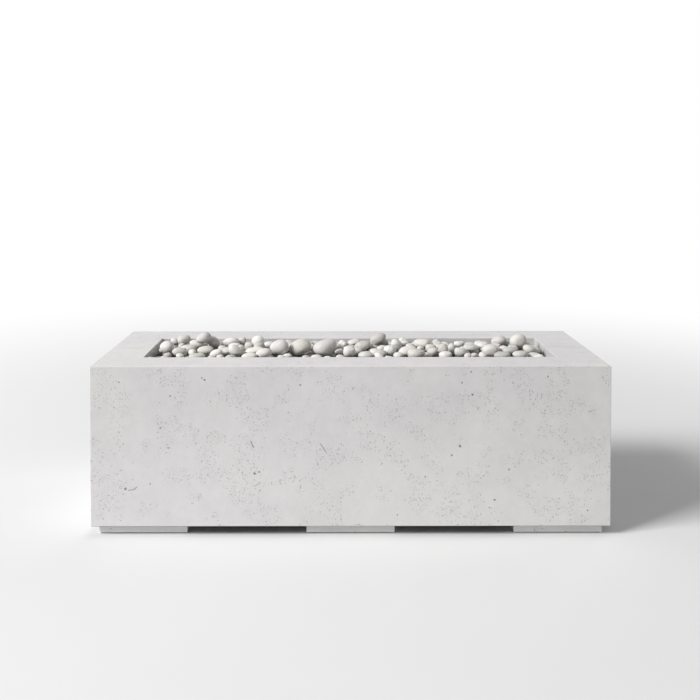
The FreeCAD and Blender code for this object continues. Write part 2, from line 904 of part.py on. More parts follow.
def build_burner():
    """Straight burner tube with a hub welded under its middle, gas ports, end caps, stands and locknut."""
    start = at(-burner_length / 2, 0, burner_level)
    bore = burner_radius - burner_wall
    hub_top = burner_level
    outside = joined([
        rod(start, X, burner_radius, burner_length),
        rod(at(0, 0, hub_bottom), Z, hub_radius, hub_top - hub_bottom),
        rod(at(0, 0, pan_floor), Z, collar_radius, collar_height),
    ])
    inside = joined([
        rod(start, X, bore, burner_length),
        rod(at(0, 0, hub_bottom), Z, hub_bore, hub_top - hub_bottom),
    ])
    ports = []
    count = int(burner_length / 2 / port_pitch)
    for step in range(-count, count + 1):
        for half in (-1, 1):
            lean = math.radians(port_angle * half)
            axis = at(0, math.sin(lean), math.cos(lean))
            ports.append(rod(at(step * port_pitch, 0, burner_level), axis, port_radius, 2 * burner_radius))
    save("burner_tube", outside.cut(inside).cut(Part.makeCompound(ports)))
    caps = []
    for side in (-1, 1):
        face = at(side * burner_length / 2, 0, burner_level)
        disc = rod(face, X * side, burner_radius, cap_thickness)
        plug = rod(face, X * -side, bore - thread_clearance, cap_thickness)
        caps.append(joined([disc, plug]))
    save("burner_end_caps", caps)
    stands = []
    for share in stand_shares:
        along = share * burner_length / 2
        left = along - stand_width / 2
        right = along + stand_width / 2
        foot_reach = burner_radius + stand_foot
        base = block(left, right, -foot_reach, foot_reach, pan_floor, pan_floor + stand_thickness)
        web = block(
            left, right, -burner_radius / 2, burner_radius / 2, pan_floor, burner_level,
        )
        cradle = rod(at(left, 0, burner_level), X, burner_radius + seat_gap, stand_width)
        stands.append(joined([base, web]).cut(cradle))
    save("burner_stands", stands)
    nut_base = at(0, 0, pan_bottom - locknut_height)
    nut = hexagon(nut_base, Z, locknut_flats, locknut_height)
    save("burner_locknut", nut.cut(rod(nut_base, Z, hub_radius + thread_clearance, locknut_height)))


def build_mixer():
    """Air mixer screwed to the hub, with four air windows, and the gas orifice below it."""
    mixer = rod(at(0, 0, mixer_bottom), Z, mixer_radius, mixer_length)
    mixer = mixer.cut(rod(at(0, 0, mixer_bottom), Z, hub_bore, mixer_length))
    top_socket = rod(at(0, 0, hub_bottom - seat_gap), Z, hub_radius + thread_clearance, mixer_length)
    mixer = mixer.cut(top_socket)
    middle = mixer_bottom + mixer_length / 2
    low = middle - mixer_window_height / 2
    high = middle + mixer_window_height / 2
    half_window = mixer_window_width / 2
    mixer = mixer.cut(block(-mixer_radius, mixer_radius, -half_window, half_window, low, high))
    mixer = mixer.cut(block(-half_window, half_window, -mixer_radius, mixer_radius, low, high))
    seat = sleeve(
        at(0, 0, mixer_bottom), Z, mixer_radius, orifice_spigot_radius + thread_clearance,
        orifice_spigot_length,
    )
    save("air_mixer", joined([mixer, seat]))
    orifice = joined([
        rod(at(0, 0, orifice_shoulder), Z, orifice_spigot_radius, orifice_spigot_length),
        hexagon(at(0, 0, orifice_flare_top), Z, orifice_flats, orifice_hex_length),
        rod(at(0, 0, orifice_bottom), Z, flare_radius, flare_length),
    ])
    length = orifice_shoulder + orifice_spigot_length - orifice_bottom
    save("gas_orifice", orifice.cut(rod(at(0, 0, orifice_bottom), Z, orifice_bore, length)))


def flare_nut(x, y, flare_end):
    """Nut on a flare that points down: it covers the flare and grips the tube below it."""
    bottom = flare_end - flex_nut_skirt
    top = flare_end + flare_length - flare_thread_shown
    nut = hexagon(at(x, y, bottom), Z, flex_nut_flats, top - bottom)
    nut = nut.cut(rod(at(x, y, bottom), Z, flex_radius + thread_clearance, flex_nut_skirt))
    return nut.cut(rod(at(x, y, flare_end - seat_gap), Z, flare_radius + thread_clearance, flare_length))


def build_flex_connector():
    """Flexible gas connector from the control valve to the orifice, with its two flare nuts."""
    points = [
        at(0, 0, orifice_bottom - seat_gap),
        at(0, 0, flex_level),
        at(valve_along, knob_middle, flex_level),
        at(valve_along, knob_middle, valve_flare_bottom - seat_gap),
    ]
    hose = swept(points, flex_bend, flex_radius)
    save("flex_connector", hose.cut(swept(points, flex_bend, flex_radius - flex_wall)))
    valve_nut = flare_nut(valve_along, knob_middle, valve_flare_bottom)
    save("flex_nuts", [flare_nut(0, 0, orifice_bottom), valve_nut])


def build_control_box():
    """Folded stainless recess that lines the cut-out in the end wall."""
    near = half_length - control_setback
    y0 = control_middle - control_width / 2 + sheet_gap
    y1 = control_middle + control_width / 2 - sheet_gap
    z0 = control_level - control_height / 2 + sheet_gap
    z1 = control_level + control_height / 2 - sheet_gap
    tray = block(plate_rear, near, y0, y1, z0, z1)
    tray = tray.cut(block(
        control_face, near, y0 + control_sheet, y1 - control_sheet, z0 + control_sheet, z1 - control_sheet,
    ))
    reach_across = control_width / 2 + control_flange
    reach_up = control_height / 2 + control_flange
    flange = block(
        inner_end - control_sheet, inner_end, control_middle - reach_across, control_middle + reach_across,
        control_level - reach_up, control_level + reach_up,
    )
    flange = flange.cut(block(inner_end - control_sheet, inner_end, y0, y1, z0, z1))
    holes = []
    for seat, axis, sheet in wall_screw_seats():
        holes.append(rod(seat, axis, screw_radius + hole_clearance, sheet))
    centre = at(plate_rear, knob_middle, control_level)
    holes.append(rod(centre, X, stem_radius + stem_hole_clearance, control_sheet))
    for half in (-1, 1):
        offset = at(0, half * valve_screw_offset, 0)
        holes.append(rod(centre + offset, X, valve_screw_radius + thread_clearance, control_sheet))
    igniter_centre = at(plate_rear, igniter_middle, control_level)
    holes.append(rod(igniter_centre, X, igniter_radius + hole_clearance, control_sheet))
    save("control_box", joined([tray, flange]).cut(Part.makeCompound(holes)))


def build_valve():
    """Control valve behind the recess, its push collar, its stem and the screws through the back plate."""
    axis_point = at(valve_rear, knob_middle, control_level)
    half = valve_block / 2
    body = block(
        valve_rear, valve_front, knob_middle - half, knob_middle + half,
        control_level - half, control_level + half,
    )
    body = body.makeChamfer(valve_edge, body.Edges)
    neck = rod(at(valve_front, knob_middle, control_level), X, valve_neck_radius, valve_neck_length)
    outlet = rod(at(valve_along, knob_middle, valve_flare_bottom), Z, flare_radius, flare_length)
    inlet_boss = rod(
        at(valve_along, knob_middle - half - valve_boss_length, control_level), Y,
        valve_boss_radius, valve_boss_length,
    )
    body = joined([body, neck, outlet, inlet_boss])
    bore = rod(axis_point + X * knob_push, X, stem_radius + running_clearance, plate_rear - valve_rear)
    collar_back = plate_rear - push_collar_setback
    chamber = rod(
        at(collar_back - knob_push - push_collar_clearance, knob_middle, control_level), X,
        push_collar_radius + hole_clearance, push_collar_thickness + knob_push + 2 * push_collar_clearance,
    )
    gas_way = rod(at(valve_along, knob_middle, valve_flare_bottom), Z, orifice_bore * 2, valve_block)
    socket = rod(
        at(valve_along, knob_middle - half - valve_boss_length, control_level), Y,
        nipple_radius + thread_clearance, socket_depth,
    )
    threads = []
    screws = []
    for side in (-1, 1):
        seat = at(control_face, knob_middle + side * valve_screw_offset, control_level)
        length = control_sheet + valve_screw_grip
        threads.append(rod(seat, X * -1, valve_screw_radius + thread_clearance, length))
        screws.append(socket_screw(
            seat, X * -1, valve_screw_radius, length, valve_screw_head, valve_screw_head_height,
        ))
    save("gas_valve", body.cut(Part.makeCompound([bore, chamber, gas_way, socket] + threads)))
    save("valve_push_collar", sleeve(
        at(collar_back, knob_middle, control_level), X, push_collar_radius,
        stem_radius + running_clearance, push_collar_thickness,
    ))
    stem = rod(at(stem_rear, knob_middle, control_level), X, stem_radius, stem_front - stem_rear)
    save("valve_stem", stem)
    return screws


def build_knob():
    """Control knob: a fluted grip on a wider skirt, with a pointer groove across its face."""
    centre = at(knob_back, knob_middle, control_level)
    skirt = rod(centre, X, knob_radius, knob_skirt)
    grip_radius = knob_radius - knob_skirt_reach
    grip = rod(centre, X, grip_radius, knob_length)
    front_edges = [edge for edge in grip.Edges if abs(edge.BoundBox.XMin - knob_front) < tiny]
    grip = grip.makeFillet(knob_edge, front_edges)
    flutes = []
    for number in range(knob_flutes):
        turn = 2 * math.pi * number / knob_flutes
        offset = at(knob_skirt, grip_radius * math.cos(turn), grip_radius * math.sin(turn))
        flutes.append(rod(centre + offset, X, knob_flute_radius, knob_length))
    grip = grip.cut(Part.makeCompound(flutes))
    pointer = block(
        knob_front - pointer_depth, knob_front,
        knob_middle - pointer_width / 2, knob_middle + pointer_width / 2,
        control_level, control_level + knob_radius,
    )
    bore = rod(centre, X, stem_radius + running_clearance, knob_length - stem_end_cover + seat_gap)
    save("control_knob", joined([skirt, grip]).cut(pointer).cut(bore))


def build_igniter():
    """Push igniter: a threaded body with a bezel, a backing nut and a sprung button."""
    centre = at(control_face, igniter_middle, control_level)
    body = joined([
        rod(at(igniter_rear, igniter_middle, control_level), X, igniter_radius, control_face - igniter_rear),
        rod(centre, X, igniter_bezel_radius, igniter_bezel_height),
    ])
    front = control_face + igniter_bezel_height
    button_back = front + button_stand - button_length
    well = button_length + button_travel + button_well_clearance
    body = body.cut(rod(
        at(front + button_stand - well, igniter_middle, control_level), X,
        button_radius + button_clearance, well,
    ))
    save("igniter_body", body)
    behind = at(plate_rear, igniter_middle, control_level)
    nut = hexagon(behind, X * -1, igniter_nut_flats, nut_height)
    bore = rod(behind, X * -1, igniter_radius + thread_clearance, nut_height)
    save("igniter_nut", nut.cut(bore))
    button = rod(at(button_back, igniter_middle, control_level), X, button_radius, button_length)
    tip_edges = [edge for edge in button.Edges if edge.BoundBox.XMin > front]
    save("igniter_button", button.makeFillet(button_edge, tip_edges))


def build_pilot():
    """Pilot bracket with the spark electrode and the thermocouple probe, and the leads from both."""
    half = pilot_bracket_length / 2
    low = probe_offset - pilot_bracket_margin
    high = electrode_offset + pilot_bracket_margin
    fold = pilot_along - half + pilot_bracket_margin
    tab_level = pan_floor + pilot_tab_rise
    base = block(pilot_along - half, fold, low, high, pan_floor, pan_floor + pilot_sheet)
    web = block(fold - pilot_sheet, fold, low, high, pan_floor, tab_level)
    tab = block(
        fold - pilot_sheet, pilot_along + pilot_bracket_margin, low, high, tab_level - pilot_sheet, tab_level,
    )
    holes = []
    for offset, radius in ((electrode_offset, electrode_radius), (probe_offset, probe_radius)):
        middle = at(pilot_along, offset, pan_floor)
        holes.append(rod(middle, Z, radius + thread_clearance, pilot_tab_rise))
    save("pilot_bracket", joined([base, web, tab]).cut(Part.makeCompound(holes)))
    tail = pan_bottom - pilot_tail
    electrode_top = pan_floor + electrode_height
    electrode = joined([
        rod(at(pilot_along, electrode_offset, tail), Z, electrode_radius, electrode_top - tail),
        rod(at(pilot_along, electrode_offset, electrode_top), Z, electrode_tip_radius, electrode_tip_length),
    ])
    save("igniter_electrode", electrode)
    probe_top = pan_floor + probe_height
    probe = rod(at(pilot_along, probe_offset, tail), Z, probe_radius, probe_top - tail)
    top_edges = [edge for edge in probe.Edges if edge.BoundBox.ZMin > probe_top - tiny]
    probe = probe.makeFillet(probe_radius * probe_rounding, top_edges)
    lead = swept([
        at(pilot_along, electrode_offset, tail),
        at(pilot_along, electrode_offset, control_level),
        at(pilot_along, igniter_middle, control_level),
        at(igniter_rear, igniter_middle, control_level),
    ], lead_bend, lead_radius)
    save("ignition_lead", lead)
    level = control_level - probe_lead_drop
    lead = swept([
        at(pilot_along, probe_offset, tail),
        at(pilot_along, probe_offset, level),
        at(pilot_along, knob_middle, level),
        at(valve_rear, knob_middle, level),
    ], lead_bend, lead_radius)
    save("thermocouple", [probe, lead])


def build_gas_train():
    """Inlet fitting and plate, shut-off valve with its lever, regulator, link pipe, riser and bracket."""
    plate = block(
        inlet_along - inlet_plate_size / 2, inlet_along + inlet_plate_size / 2, plate_face, inner_back,
        inlet_level - inlet_plate_size / 2, inlet_level + inlet_plate_size / 2,
    )
    centre = at(inlet_along, plate_face, inlet_level)
    holes = [rod(centre, Y, flare_radius + hole_clearance, inlet_plate_thickness)]
    for seat, axis, sheet in wall_screw_seats():
        holes.append(rod(seat, axis, screw_radius + hole_clearance, sheet))
    save("inlet_plate", plate.cut(Part.makeCompound(holes)))
    tail = shutoff_rear_end - socket_depth
    fitting = joined([
        rod(at(inlet_along, tail, inlet_level), Y, nipple_radius, nipple_start - tail),
        hexagon(at(inlet_along, nipple_start, inlet_level), Y, 2 * inlet_collar_radius, inlet_collar_length),
        rod(centre, Y, nipple_radius, inlet_tip - plate_face),
        rod(at(inlet_along, inlet_tip - flare_length, inlet_level), Y, flare_radius, flare_length),
    ])
    way = rod(at(inlet_along, tail, inlet_level), Y, nipple_radius - nipple_wall, inlet_tip - tail)
    save("gas_inlet_fitting", fitting.cut(way))

    front_mouth = at(inlet_along, shutoff_front_end, inlet_level)
    body = joined([
        rod(front_mouth, Y, shutoff_radius, shutoff_length),
        rod(
            at(inlet_along, shutoff_middle - shutoff_ball_radius, inlet_level), Y,
            shutoff_ball_radius, 2 * shutoff_ball_radius,
        ),
        rod(at(inlet_along, shutoff_middle, inlet_level), Z, shutoff_tower_radius, shutoff_tower_height),
    ])
    sockets = [
        rod(at(inlet_along, tail, inlet_level), Y, nipple_radius + thread_clearance, socket_depth),
        rod(front_mouth, Y, nipple_radius + thread_clearance, socket_depth),
        rod(front_mouth, Y, nipple_radius - nipple_wall, shutoff_length),
        rod(at(inlet_along, shutoff_middle, inlet_level), Z, shutoff_stem_radius + running_clearance,
            shutoff_tower_height),
    ]
    save("shutoff_valve", body.cut(Part.makeCompound(sockets)))
    stem_bottom = inlet_level + shutoff_tower_height / 2
    bar_start = lever_level + seat_gap
    lever = joined([
        rod(at(inlet_along, shutoff_middle, stem_bottom), Z, shutoff_stem_radius, bar_start - stem_bottom),
        rod(at(inlet_along, shutoff_middle, bar_start), Z, lever_hub_radius, lever_thickness),
        block(
            inlet_along - lever_length, inlet_along, shutoff_middle - lever_width / 2,
            shutoff_middle + lever_width / 2, bar_start, bar_start + lever_thickness,
        ),
    ])
    save("shutoff_lever", lever)

    boss_length = regulator_radius + regulator_boss_length
    regulator = joined([
        rod(at(inlet_along, regulator_middle, regulator_bottom), Z, regulator_radius, regulator_height),
        rod(
            at(inlet_along, regulator_middle, regulator_bottom - regulator_bonnet_height), Z,
            regulator_bonnet_radius, regulator_bonnet_height,
        ),
        rod(
            at(inlet_along, regulator_middle - boss_length, inlet_level), Y,
            regulator_boss_radius, 2 * boss_length,
        ),
    ])
    ways = []
    for face in (-1, 1):
        mouth = at(inlet_along, regulator_middle + face * boss_length, inlet_level)
        ways.append(rod(mouth, Y * -face, nipple_radius + thread_clearance, socket_depth))
    save("regulator", regulator.cut(Part.makeCompound(ways)))
    link_start = regulator_middle + boss_length - socket_depth
    link_end = shutoff_front_end + socket_depth
    link = sleeve(
        at(inlet_along, link_start, inlet_level), Y, nipple_radius, nipple_radius - nipple_wall,
        link_end - link_start,
    )
    riser_start = regulator_front + socket_depth
    riser_front = regulator_front - riser_reach
    boss_mouth = knob_middle - valve_block / 2 - valve_boss_length
    points = [
        at(inlet_along, riser_start, inlet_level),
        at(inlet_along, riser_front, inlet_level),
        at(valve_along, riser_front, control_level),
        at(valve_along, boss_mouth + socket_depth, control_level),
    ]
    riser = swept(points, riser_bend, nipple_radius)
    riser = riser.cut(swept(points, riser_bend, nipple_radius - nipple_wall))
    save("steel_pipes", [link, riser])

    seat_level = regulator_bottom - regulator_bonnet_height
    web = half_length - return_width
    low = regulator_middle - bracket_width / 2
    high = regulator_middle + bracket_width / 2
    bracket = joined([
        block(web, inner_end - seat_gap, low, high, return_top, return_top + bracket_thickness),
        block(web, web + bracket_thickness, low, high, return_top, seat_level),
        block(
            web, inlet_along + regulator_bonnet_radius, low, high, seat_level - bracket_thickness, seat_level,
        ),
    ])
    save("regulator_bracket", bracket)


def wall_screws():
    """Screws of the recess flange, the door frame and the inlet plate."""
    screws = []
    for seat, axis, sheet in wall_screw_seats():
        screws.append(socket_screw(
            seat, axis, screw_radius, sheet + screw_grip, screw_head_radius, screw_head_height,
        ))
    return screws


def hinge_parts():
    """Frame leaves, door leaves and pins of the two door hinges."""
    frame_leaves = []
    door_leaves = []
    pins = []
    for middle in hinge_levels:
        axis_point = at(hinge_along, hinge_back, middle)
        door_low = middle - knuckle_length / 2
        door_knuckle = rod(at(hinge_along, hinge_back, door_low), Z, knuckle_radius, knuckle_length)
        door_plate = block(
            hinge_along, panel_left + leaf_width, door_face, door_face + leaf_thickness,
            door_low, door_low + knuckle_length,
        )
        bore_start = axis_point - Z * knuckle_length * 2
        bore = rod(bore_start, Z, hinge_pin_radius + running_clearance, knuckle_length * 4)
        door_leaves.append(joined([door_knuckle, door_plate]).cut(bore))
        side_lows = (door_low - knuckle_gap - knuckle_length / 2, door_low + knuckle_length + knuckle_gap)
        pieces = []
        for low in side_lows:
            high = low + knuckle_length / 2
            pieces.append(rod(at(hinge_along, hinge_back, low), Z, knuckle_radius, knuckle_length / 2))
            pieces.append(block(
                jamb_left, hinge_along,
                hinge_back - leaf_thickness / 2, hinge_back + leaf_thickness / 2, low, high,
            ))
        pieces.append(block(
            jamb_left, jamb_left + leaf_strip, door_face - leaf_width / 2, hinge_back + leaf_thickness / 2,
            side_lows[0], side_lows[1] + knuckle_length / 2,
        ))
        frame_leaves.append(joined(pieces).cut(bore))
        bottom = side_lows[0] - hinge_pin_head_height
        length = side_lows[1] + knuckle_length / 2 - side_lows[0]
        pins.append(joined([
            rod(at(hinge_along, hinge_back, bottom), Z, hinge_pin_head, hinge_pin_head_height),
            rod(at(hinge_along, hinge_back, side_lows[0]), Z, hinge_pin_radius, length),
        ]))
    return frame_leaves, door_leaves, pins


def build_door():
    """Service door: a folded tray hung in a steel frame on two hinges, with a pull and a magnetic catch."""
    lining = block(lining_left, lining_right, inner_back - door_lining, half_depth - door_setback,
                   lining_bottom, lining_top)
    flange = block(
        door_left - door_flange, door_right + door_flange, inner_back - door_lining, inner_back,
        door_bottom - door_flange, door_top + door_flange,
    )
    clear = block(jamb_left, jamb_right, inner_back - door_lining, half_depth, sill, head)
    holes = []
    for seat, axis, sheet in wall_screw_seats():
        holes.append(rod(seat, axis, screw_radius + hole_clearance, sheet))
    save("door_frame", joined([lining, flange]).cut(clear).cut(Part.makeCompound(holes)))
    tray = block(panel_left, panel_right, door_rear, door_face, panel_bottom, panel_top)
    tray = tray.cut(block(
        panel_left + door_sheet, panel_right - door_sheet, door_rear, door_face - door_sheet,
        panel_bottom + door_sheet, panel_top - door_sheet,
    ))
    save("service_door", tray)
    frame_leaves, door_leaves, pins = hinge_parts()
    save("hinge_frame_leaves", frame_leaves)
    save("hinge_door_leaves", door_leaves)
    save("hinge_pins", pins)
    middle = (panel_bottom + panel_top) / 2
    pull_along = panel_right - pull_inset
    pull = joined([
        rod(at(pull_along, door_face, middle), Y, pull_neck_radius, pull_height),
        rod(at(pull_along, door_face + pull_height / 2, middle), Y, pull_radius, pull_height / 2),
    ])
    save("door_pull", pull)
    catch_rear = inner_back - door_lining - catch_depth
    catch_left = panel_right - keeper_width - door_gap
    save("magnetic_catch", block(
        catch_left, catch_left + catch_width, catch_rear, inner_back - door_lining,
        middle - catch_height / 2, middle + catch_height / 2,
    ))
    keeper = block(
        panel_right - door_sheet - keeper_width, panel_right - door_sheet,
        inner_back - door_lining + seat_gap, door_face - door_sheet,
        middle - keeper_height / 2, middle + keeper_height / 2,
    )
    save("catch_keeper", keeper)


def build_rock_fill():
    """Lava rock that fills the pan up to the pebbles, as one mass with room for the burner in it."""
    low = block(
        -pan_end + pan_sheet + rock_gap / 2, pan_end - pan_sheet - rock_gap / 2,
        -pan_side + pan_sheet + rock_gap / 2, pan_side - pan_sheet - rock_gap / 2,
        pan_floor + seat_gap, pan_top + seat_gap,
    )
    high = block(
        -opening_end + rock_gap / 2, opening_end - rock_gap / 2,
        -opening_side + rock_gap / 2, opening_side - rock_gap / 2,
        pan_top + seat_gap, rock_top,
    )
    clear = [block(
        -burner_length / 2 - cap_thickness - rock_gap, burner_length / 2 + cap_thickness + rock_gap,
        -burner_radius - stand_foot - rock_gap, burner_radius + stand_foot + rock_gap,
        pan_floor, burner_level + burner_radius + rock_gap,
    )]
    half = pilot_bracket_length / 2
    pilot_top = pan_floor + electrode_height + electrode_tip_length
    clear.append(block(
        pilot_along - half - rock_gap, pilot_along + half,
        probe_offset - pilot_bracket_margin - rock_gap, electrode_offset + pilot_bracket_margin + rock_gap,
        pan_floor, pilot_top + rock_gap,
    ))
    for along, back in standoff_points():
        room_height = standoff_nut_height + rock_nut_room
        clear.append(rod(at(along, back, pan_floor), Z, standoff_nut_flats, room_height))
    save("lava_rock_fill", joined([low, high]).cut(Part.makeCompound(clear)))


class Stone:
    """A river pebble: an ellipsoid with a centre, three half sizes, a turn and a lift of its long axis."""

    def __init__(self, x, y, length, width, thickness, turn, lift):
        self.x = x
        self.y = y
        self.z = 0.0
        self.half = (length / 2, width / 2, thickness / 2)
        cos_turn = math.cos(math.radians(turn))
        sin_turn = math.sin(math.radians(turn))
        cos_lift = math.cos(math.radians(lift))
        sin_lift = math.sin(math.radians(lift))
        self.rows = (
            (cos_turn * cos_lift, -sin_turn, -cos_turn * sin_lift),
            (sin_turn * cos_lift, cos_turn, -sin_turn * sin_lift),
            (sin_lift, 0.0, cos_lift),
        )
        squares = [size * size for size in self.half]
        self.shape = []
        for first, second in ((0, 0), (0, 1), (0, 2), (1, 1), (1, 2), (2, 2)):
            row = self.rows[first]
            other = self.rows[second]
            self.shape.append(sum(row[k] * other[k] * squares[k] for k in range(3)))
        self.reach_x = math.sqrt(self.shape[0])
        self.reach_y = math.sqrt(self.shape[3])
        self.reach_z = math.sqrt(self.shape[5])

    def solid(self):
        """The ellipsoid itself, a round ball stretched along its three axes."""
        a, b, c = self.half
        matrix = FreeCAD.Matrix(
            self.rows[0][0] * a, self.rows[0][1] * b, self.rows[0][2] * c, self.x,
            self.rows[1][0] * a, self.rows[1][1] * b, self.rows[1][2] * c, self.y,
            self.rows[2][0] * a, self.rows[2][1] * b, self.rows[2][2] * c, self.z,
            0, 0, 0, 1,
        )
        return Part.makeSphere(1.0).transformGeometry(matrix)


def stones_apart(one, other, dz, limit):
    """Whether two pebbles are apart: the growth at which they would touch, squared, is over the limit.

    The growth is the largest, over a share s between 0 and 1, of s (1 - s) d M d, where d is the step
    between the centres and M is the inverse of (1 - s) times one shape plus s times the other.
    """
    dx = other.x - one.x
    dy = other.y - one.y
    a = one.shape
    b = other.shape
    low = 0.0
    high = 1.0
    for step in range(share_steps):
        left = high - (high - low) * golden_share
        right = low + (high - low) * golden_share
        values = []
        for share in (left, right):
            rest = 1.0 - share
            m00, m01, m02, m11, m12, m22 = [rest * p + share * q for p, q in zip(a, b)]
            c00 = m11 * m22 - m12 * m12
            c01 = m02 * m12 - m01 * m22
            c02 = m01 * m12 - m02 * m11
            c11 = m00 * m22 - m02 * m02
            c12 = m01 * m02 - m00 * m12
            c22 = m00 * m11 - m01 * m01
            size = m00 * c00 + m01 * c01 + m02 * c02
            product = c00 * dx * dx + c11 * dy * dy + c22 * dz * dz
            product += 2 * (c01 * dx * dy + c02 * dx * dz + c12 * dy * dz)
            value = share * rest * product / size
            if value > limit:
                return True
            values.append(value)
        if values[0] > values[1]:
            high = right
        else:
            low = left
    return False


def settle(stone, placed, floor):
    """Lower a pebble from above until it meets the floor or another pebble, and tell its height."""
    limit = 1.0 + 4 * stone_seat / sum(stone.half)
    near = []
    reach = max(stone.half)
    for other in placed:
        span = reach + max(other.half)
        if abs(other.x - stone.x) < span and abs(other.y - stone.y) < span:
            near.append(other)
    height = floor + stone.reach_z
    for other in near:
        top = other.z + other.reach_z + stone.reach_z + stone_start_gap
        if top < height or stones_apart(stone, other, 0.0, limit):
            continue
        low = other.z
        high = top
        for step in range(settle_steps):
            middle = (low + high) / 2
            if stones_apart(stone, other, other.z - middle, limit):
                high = middle
            else:
                low = middle
        height = max(height, high)
    for other in near:
        if not stones_apart(stone, other, other.z - height, limit):
            return None
    return height


def inside_opening(stone):
    """Whether a pebble stays between the lips."""
    room_x = opening_end - stone_wall_gap - stone.reach_x
    room_y = opening_side - stone_wall_gap - stone.reach_y
    return abs(stone.x) <= room_x and abs(stone.y) <= room_y


def random_stone(source, lengths, thicknesses):
    """A pebble of a usual size, anywhere between the lips."""
    length = source.uniform(*lengths)
    width = length * source.uniform(*stone_width_ratio)
    thickness = length * source.uniform(*thicknesses)
    turn = source.uniform(0, 180)
    lift = source.uniform(-stone_greatest_lift, stone_greatest_lift)
    return Stone(0.0, 0.0, length, width, thickness, turn, lift)


def level_limit(stone):
    """Highest centre that a loose upper pebble may have: a little lower near the four lips."""
    run_x = (abs(stone.x) - opening_end) / bed_edge_run + 1
    run_y = (abs(stone.y) - opening_side) / bed_edge_run + 1
    return rim_height - bed_below_rim - bed_edge_drop * min(1.0, max(0.0, run_x, run_y))


def rock_limit(stone):
    """Highest centre of a lower pebble, which lies on the rock itself."""
    return rock_top + seat_gap + stone.reach_z + tiny


def lowest_place(source, stone, placed, limit):
    """Put the pebble at the lowest of several places, and tell whether one of them was low enough."""
    best = None
    room_x = opening_end - stone_wall_gap - stone.reach_x
    room_y = opening_side - stone_wall_gap - stone.reach_y
    for choice in range(stone_choices):
        stone.x = source.uniform(-room_x, room_x)
        stone.y = source.uniform(-room_y, room_y)
        height = settle(stone, placed, rock_top + seat_gap)
        if height is None or height > limit(stone):
            continue
        if best is None or height < best[0]:
            best = (height, stone.x, stone.y)
    if best is None:
        return False
    stone.z, stone.x, stone.y = best
    return True


def fill_layer(source, below, layer, lengths, thicknesses, limit):
    """Add pebbles to a layer until no more fit, first of full size and then smaller ones."""
    scale = 1.0
    for shrink in range(stone_shrink_steps):
        misses = 0
        while misses <= stone_misses:
            sizes = (lengths[0] * scale, lengths[1] * scale)
            stone = random_stone(source, sizes, thicknesses)
            if lowest_place(source, stone, below + layer, limit):
                layer.append(stone)
                misses = 0
            else:
                misses += 1
        scale *= stone_shrink


def build_pebbles():
    """A lower layer of pebbles on the rock, the stones set by hand, and more on top up to the rim."""
    source = random.Random(stone_seed)
    lower = []
    fill_layer(source, [], lower, lower_stone_length, lower_stone_thickness, rock_limit)
    upper = []
    for along, back, length, width, thickness, turn, lift in placed_stones:
        stone = Stone(along, back, length, width, thickness, turn, lift)
        height = settle(stone, lower + upper, rock_top + seat_gap) if inside_opening(stone) else None
        if height is not None:
            stone.z = height
            upper.append(stone)
    fill_layer(source, lower, upper, upper_stone_length, upper_stone_thickness, level_limit)
    save("river_pebbles_lower", [stone.solid() for stone in lower])
    save("river_pebbles_upper", [stone.solid() for stone in upper])


def main():
    os.makedirs("parts", exist_ok=True)
    build_shell()
    plate_bolts = build_joint_plates()
    build_plinth()
    rail_bolts, rail_nuts = build_cross_rails()
    ledge_screws = build_ledges()
    build_pan()
    shield_screws, shield_nuts = build_shield()
    save("frame_bolts", plate_bolts + rail_bolts)
    save("hex_nuts", rail_nuts + shield_nuts)
    build_burner()
    build_mixer()
    build_flex_connector()
    build_control_box()
    valve_screws = build_valve()
    save("panel_screws", ledge_screws + shield_screws + wall_screws() + valve_screws)
    build_knob()
    build_igniter()
    build_pilot()
    build_gas_train()
    build_door()
    build_rock_fill()
    build_pebbles()


main()
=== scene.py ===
"""Looks of the concrete fire table: cast concrete, pebbles, steel, brass, controls and the stage.

Lengths are metres. X runs along the table, the front faces -Y, Z is up.
"""

import math

import bpy
import numpy as np
from mathutils import Euler, Matrix, Vector


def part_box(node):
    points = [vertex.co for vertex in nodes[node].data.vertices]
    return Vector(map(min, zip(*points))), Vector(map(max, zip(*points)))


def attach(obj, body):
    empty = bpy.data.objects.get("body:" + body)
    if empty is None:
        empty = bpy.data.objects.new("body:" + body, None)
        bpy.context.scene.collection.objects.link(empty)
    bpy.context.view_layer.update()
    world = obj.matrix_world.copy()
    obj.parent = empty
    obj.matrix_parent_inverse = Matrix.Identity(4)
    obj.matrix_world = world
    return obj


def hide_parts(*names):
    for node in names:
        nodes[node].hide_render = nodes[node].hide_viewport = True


bl_info = {
    "name": "Concrete Fire Table",
    "version": (1, 0, 0),
    "blender": (4, 5, 0),
    "location": "3D View > Sidebar > Fire Table",
    "description": "Finishes and stage of a long concrete fire table filled with river pebbles",
    "category": "Object",
}

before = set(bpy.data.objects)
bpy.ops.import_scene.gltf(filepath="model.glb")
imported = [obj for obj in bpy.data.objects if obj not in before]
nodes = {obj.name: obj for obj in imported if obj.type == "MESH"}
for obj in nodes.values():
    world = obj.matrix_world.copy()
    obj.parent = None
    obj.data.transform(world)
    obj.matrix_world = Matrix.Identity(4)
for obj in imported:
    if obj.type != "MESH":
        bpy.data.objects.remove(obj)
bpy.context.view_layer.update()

# Levels of the cast shell: its underside, its front plane and the top of its rim
shell_low, shell_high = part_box("shell_front_half")
UNDERSIDE = shell_low.z
FRONT = shell_low.y
RIM = shell_high.z

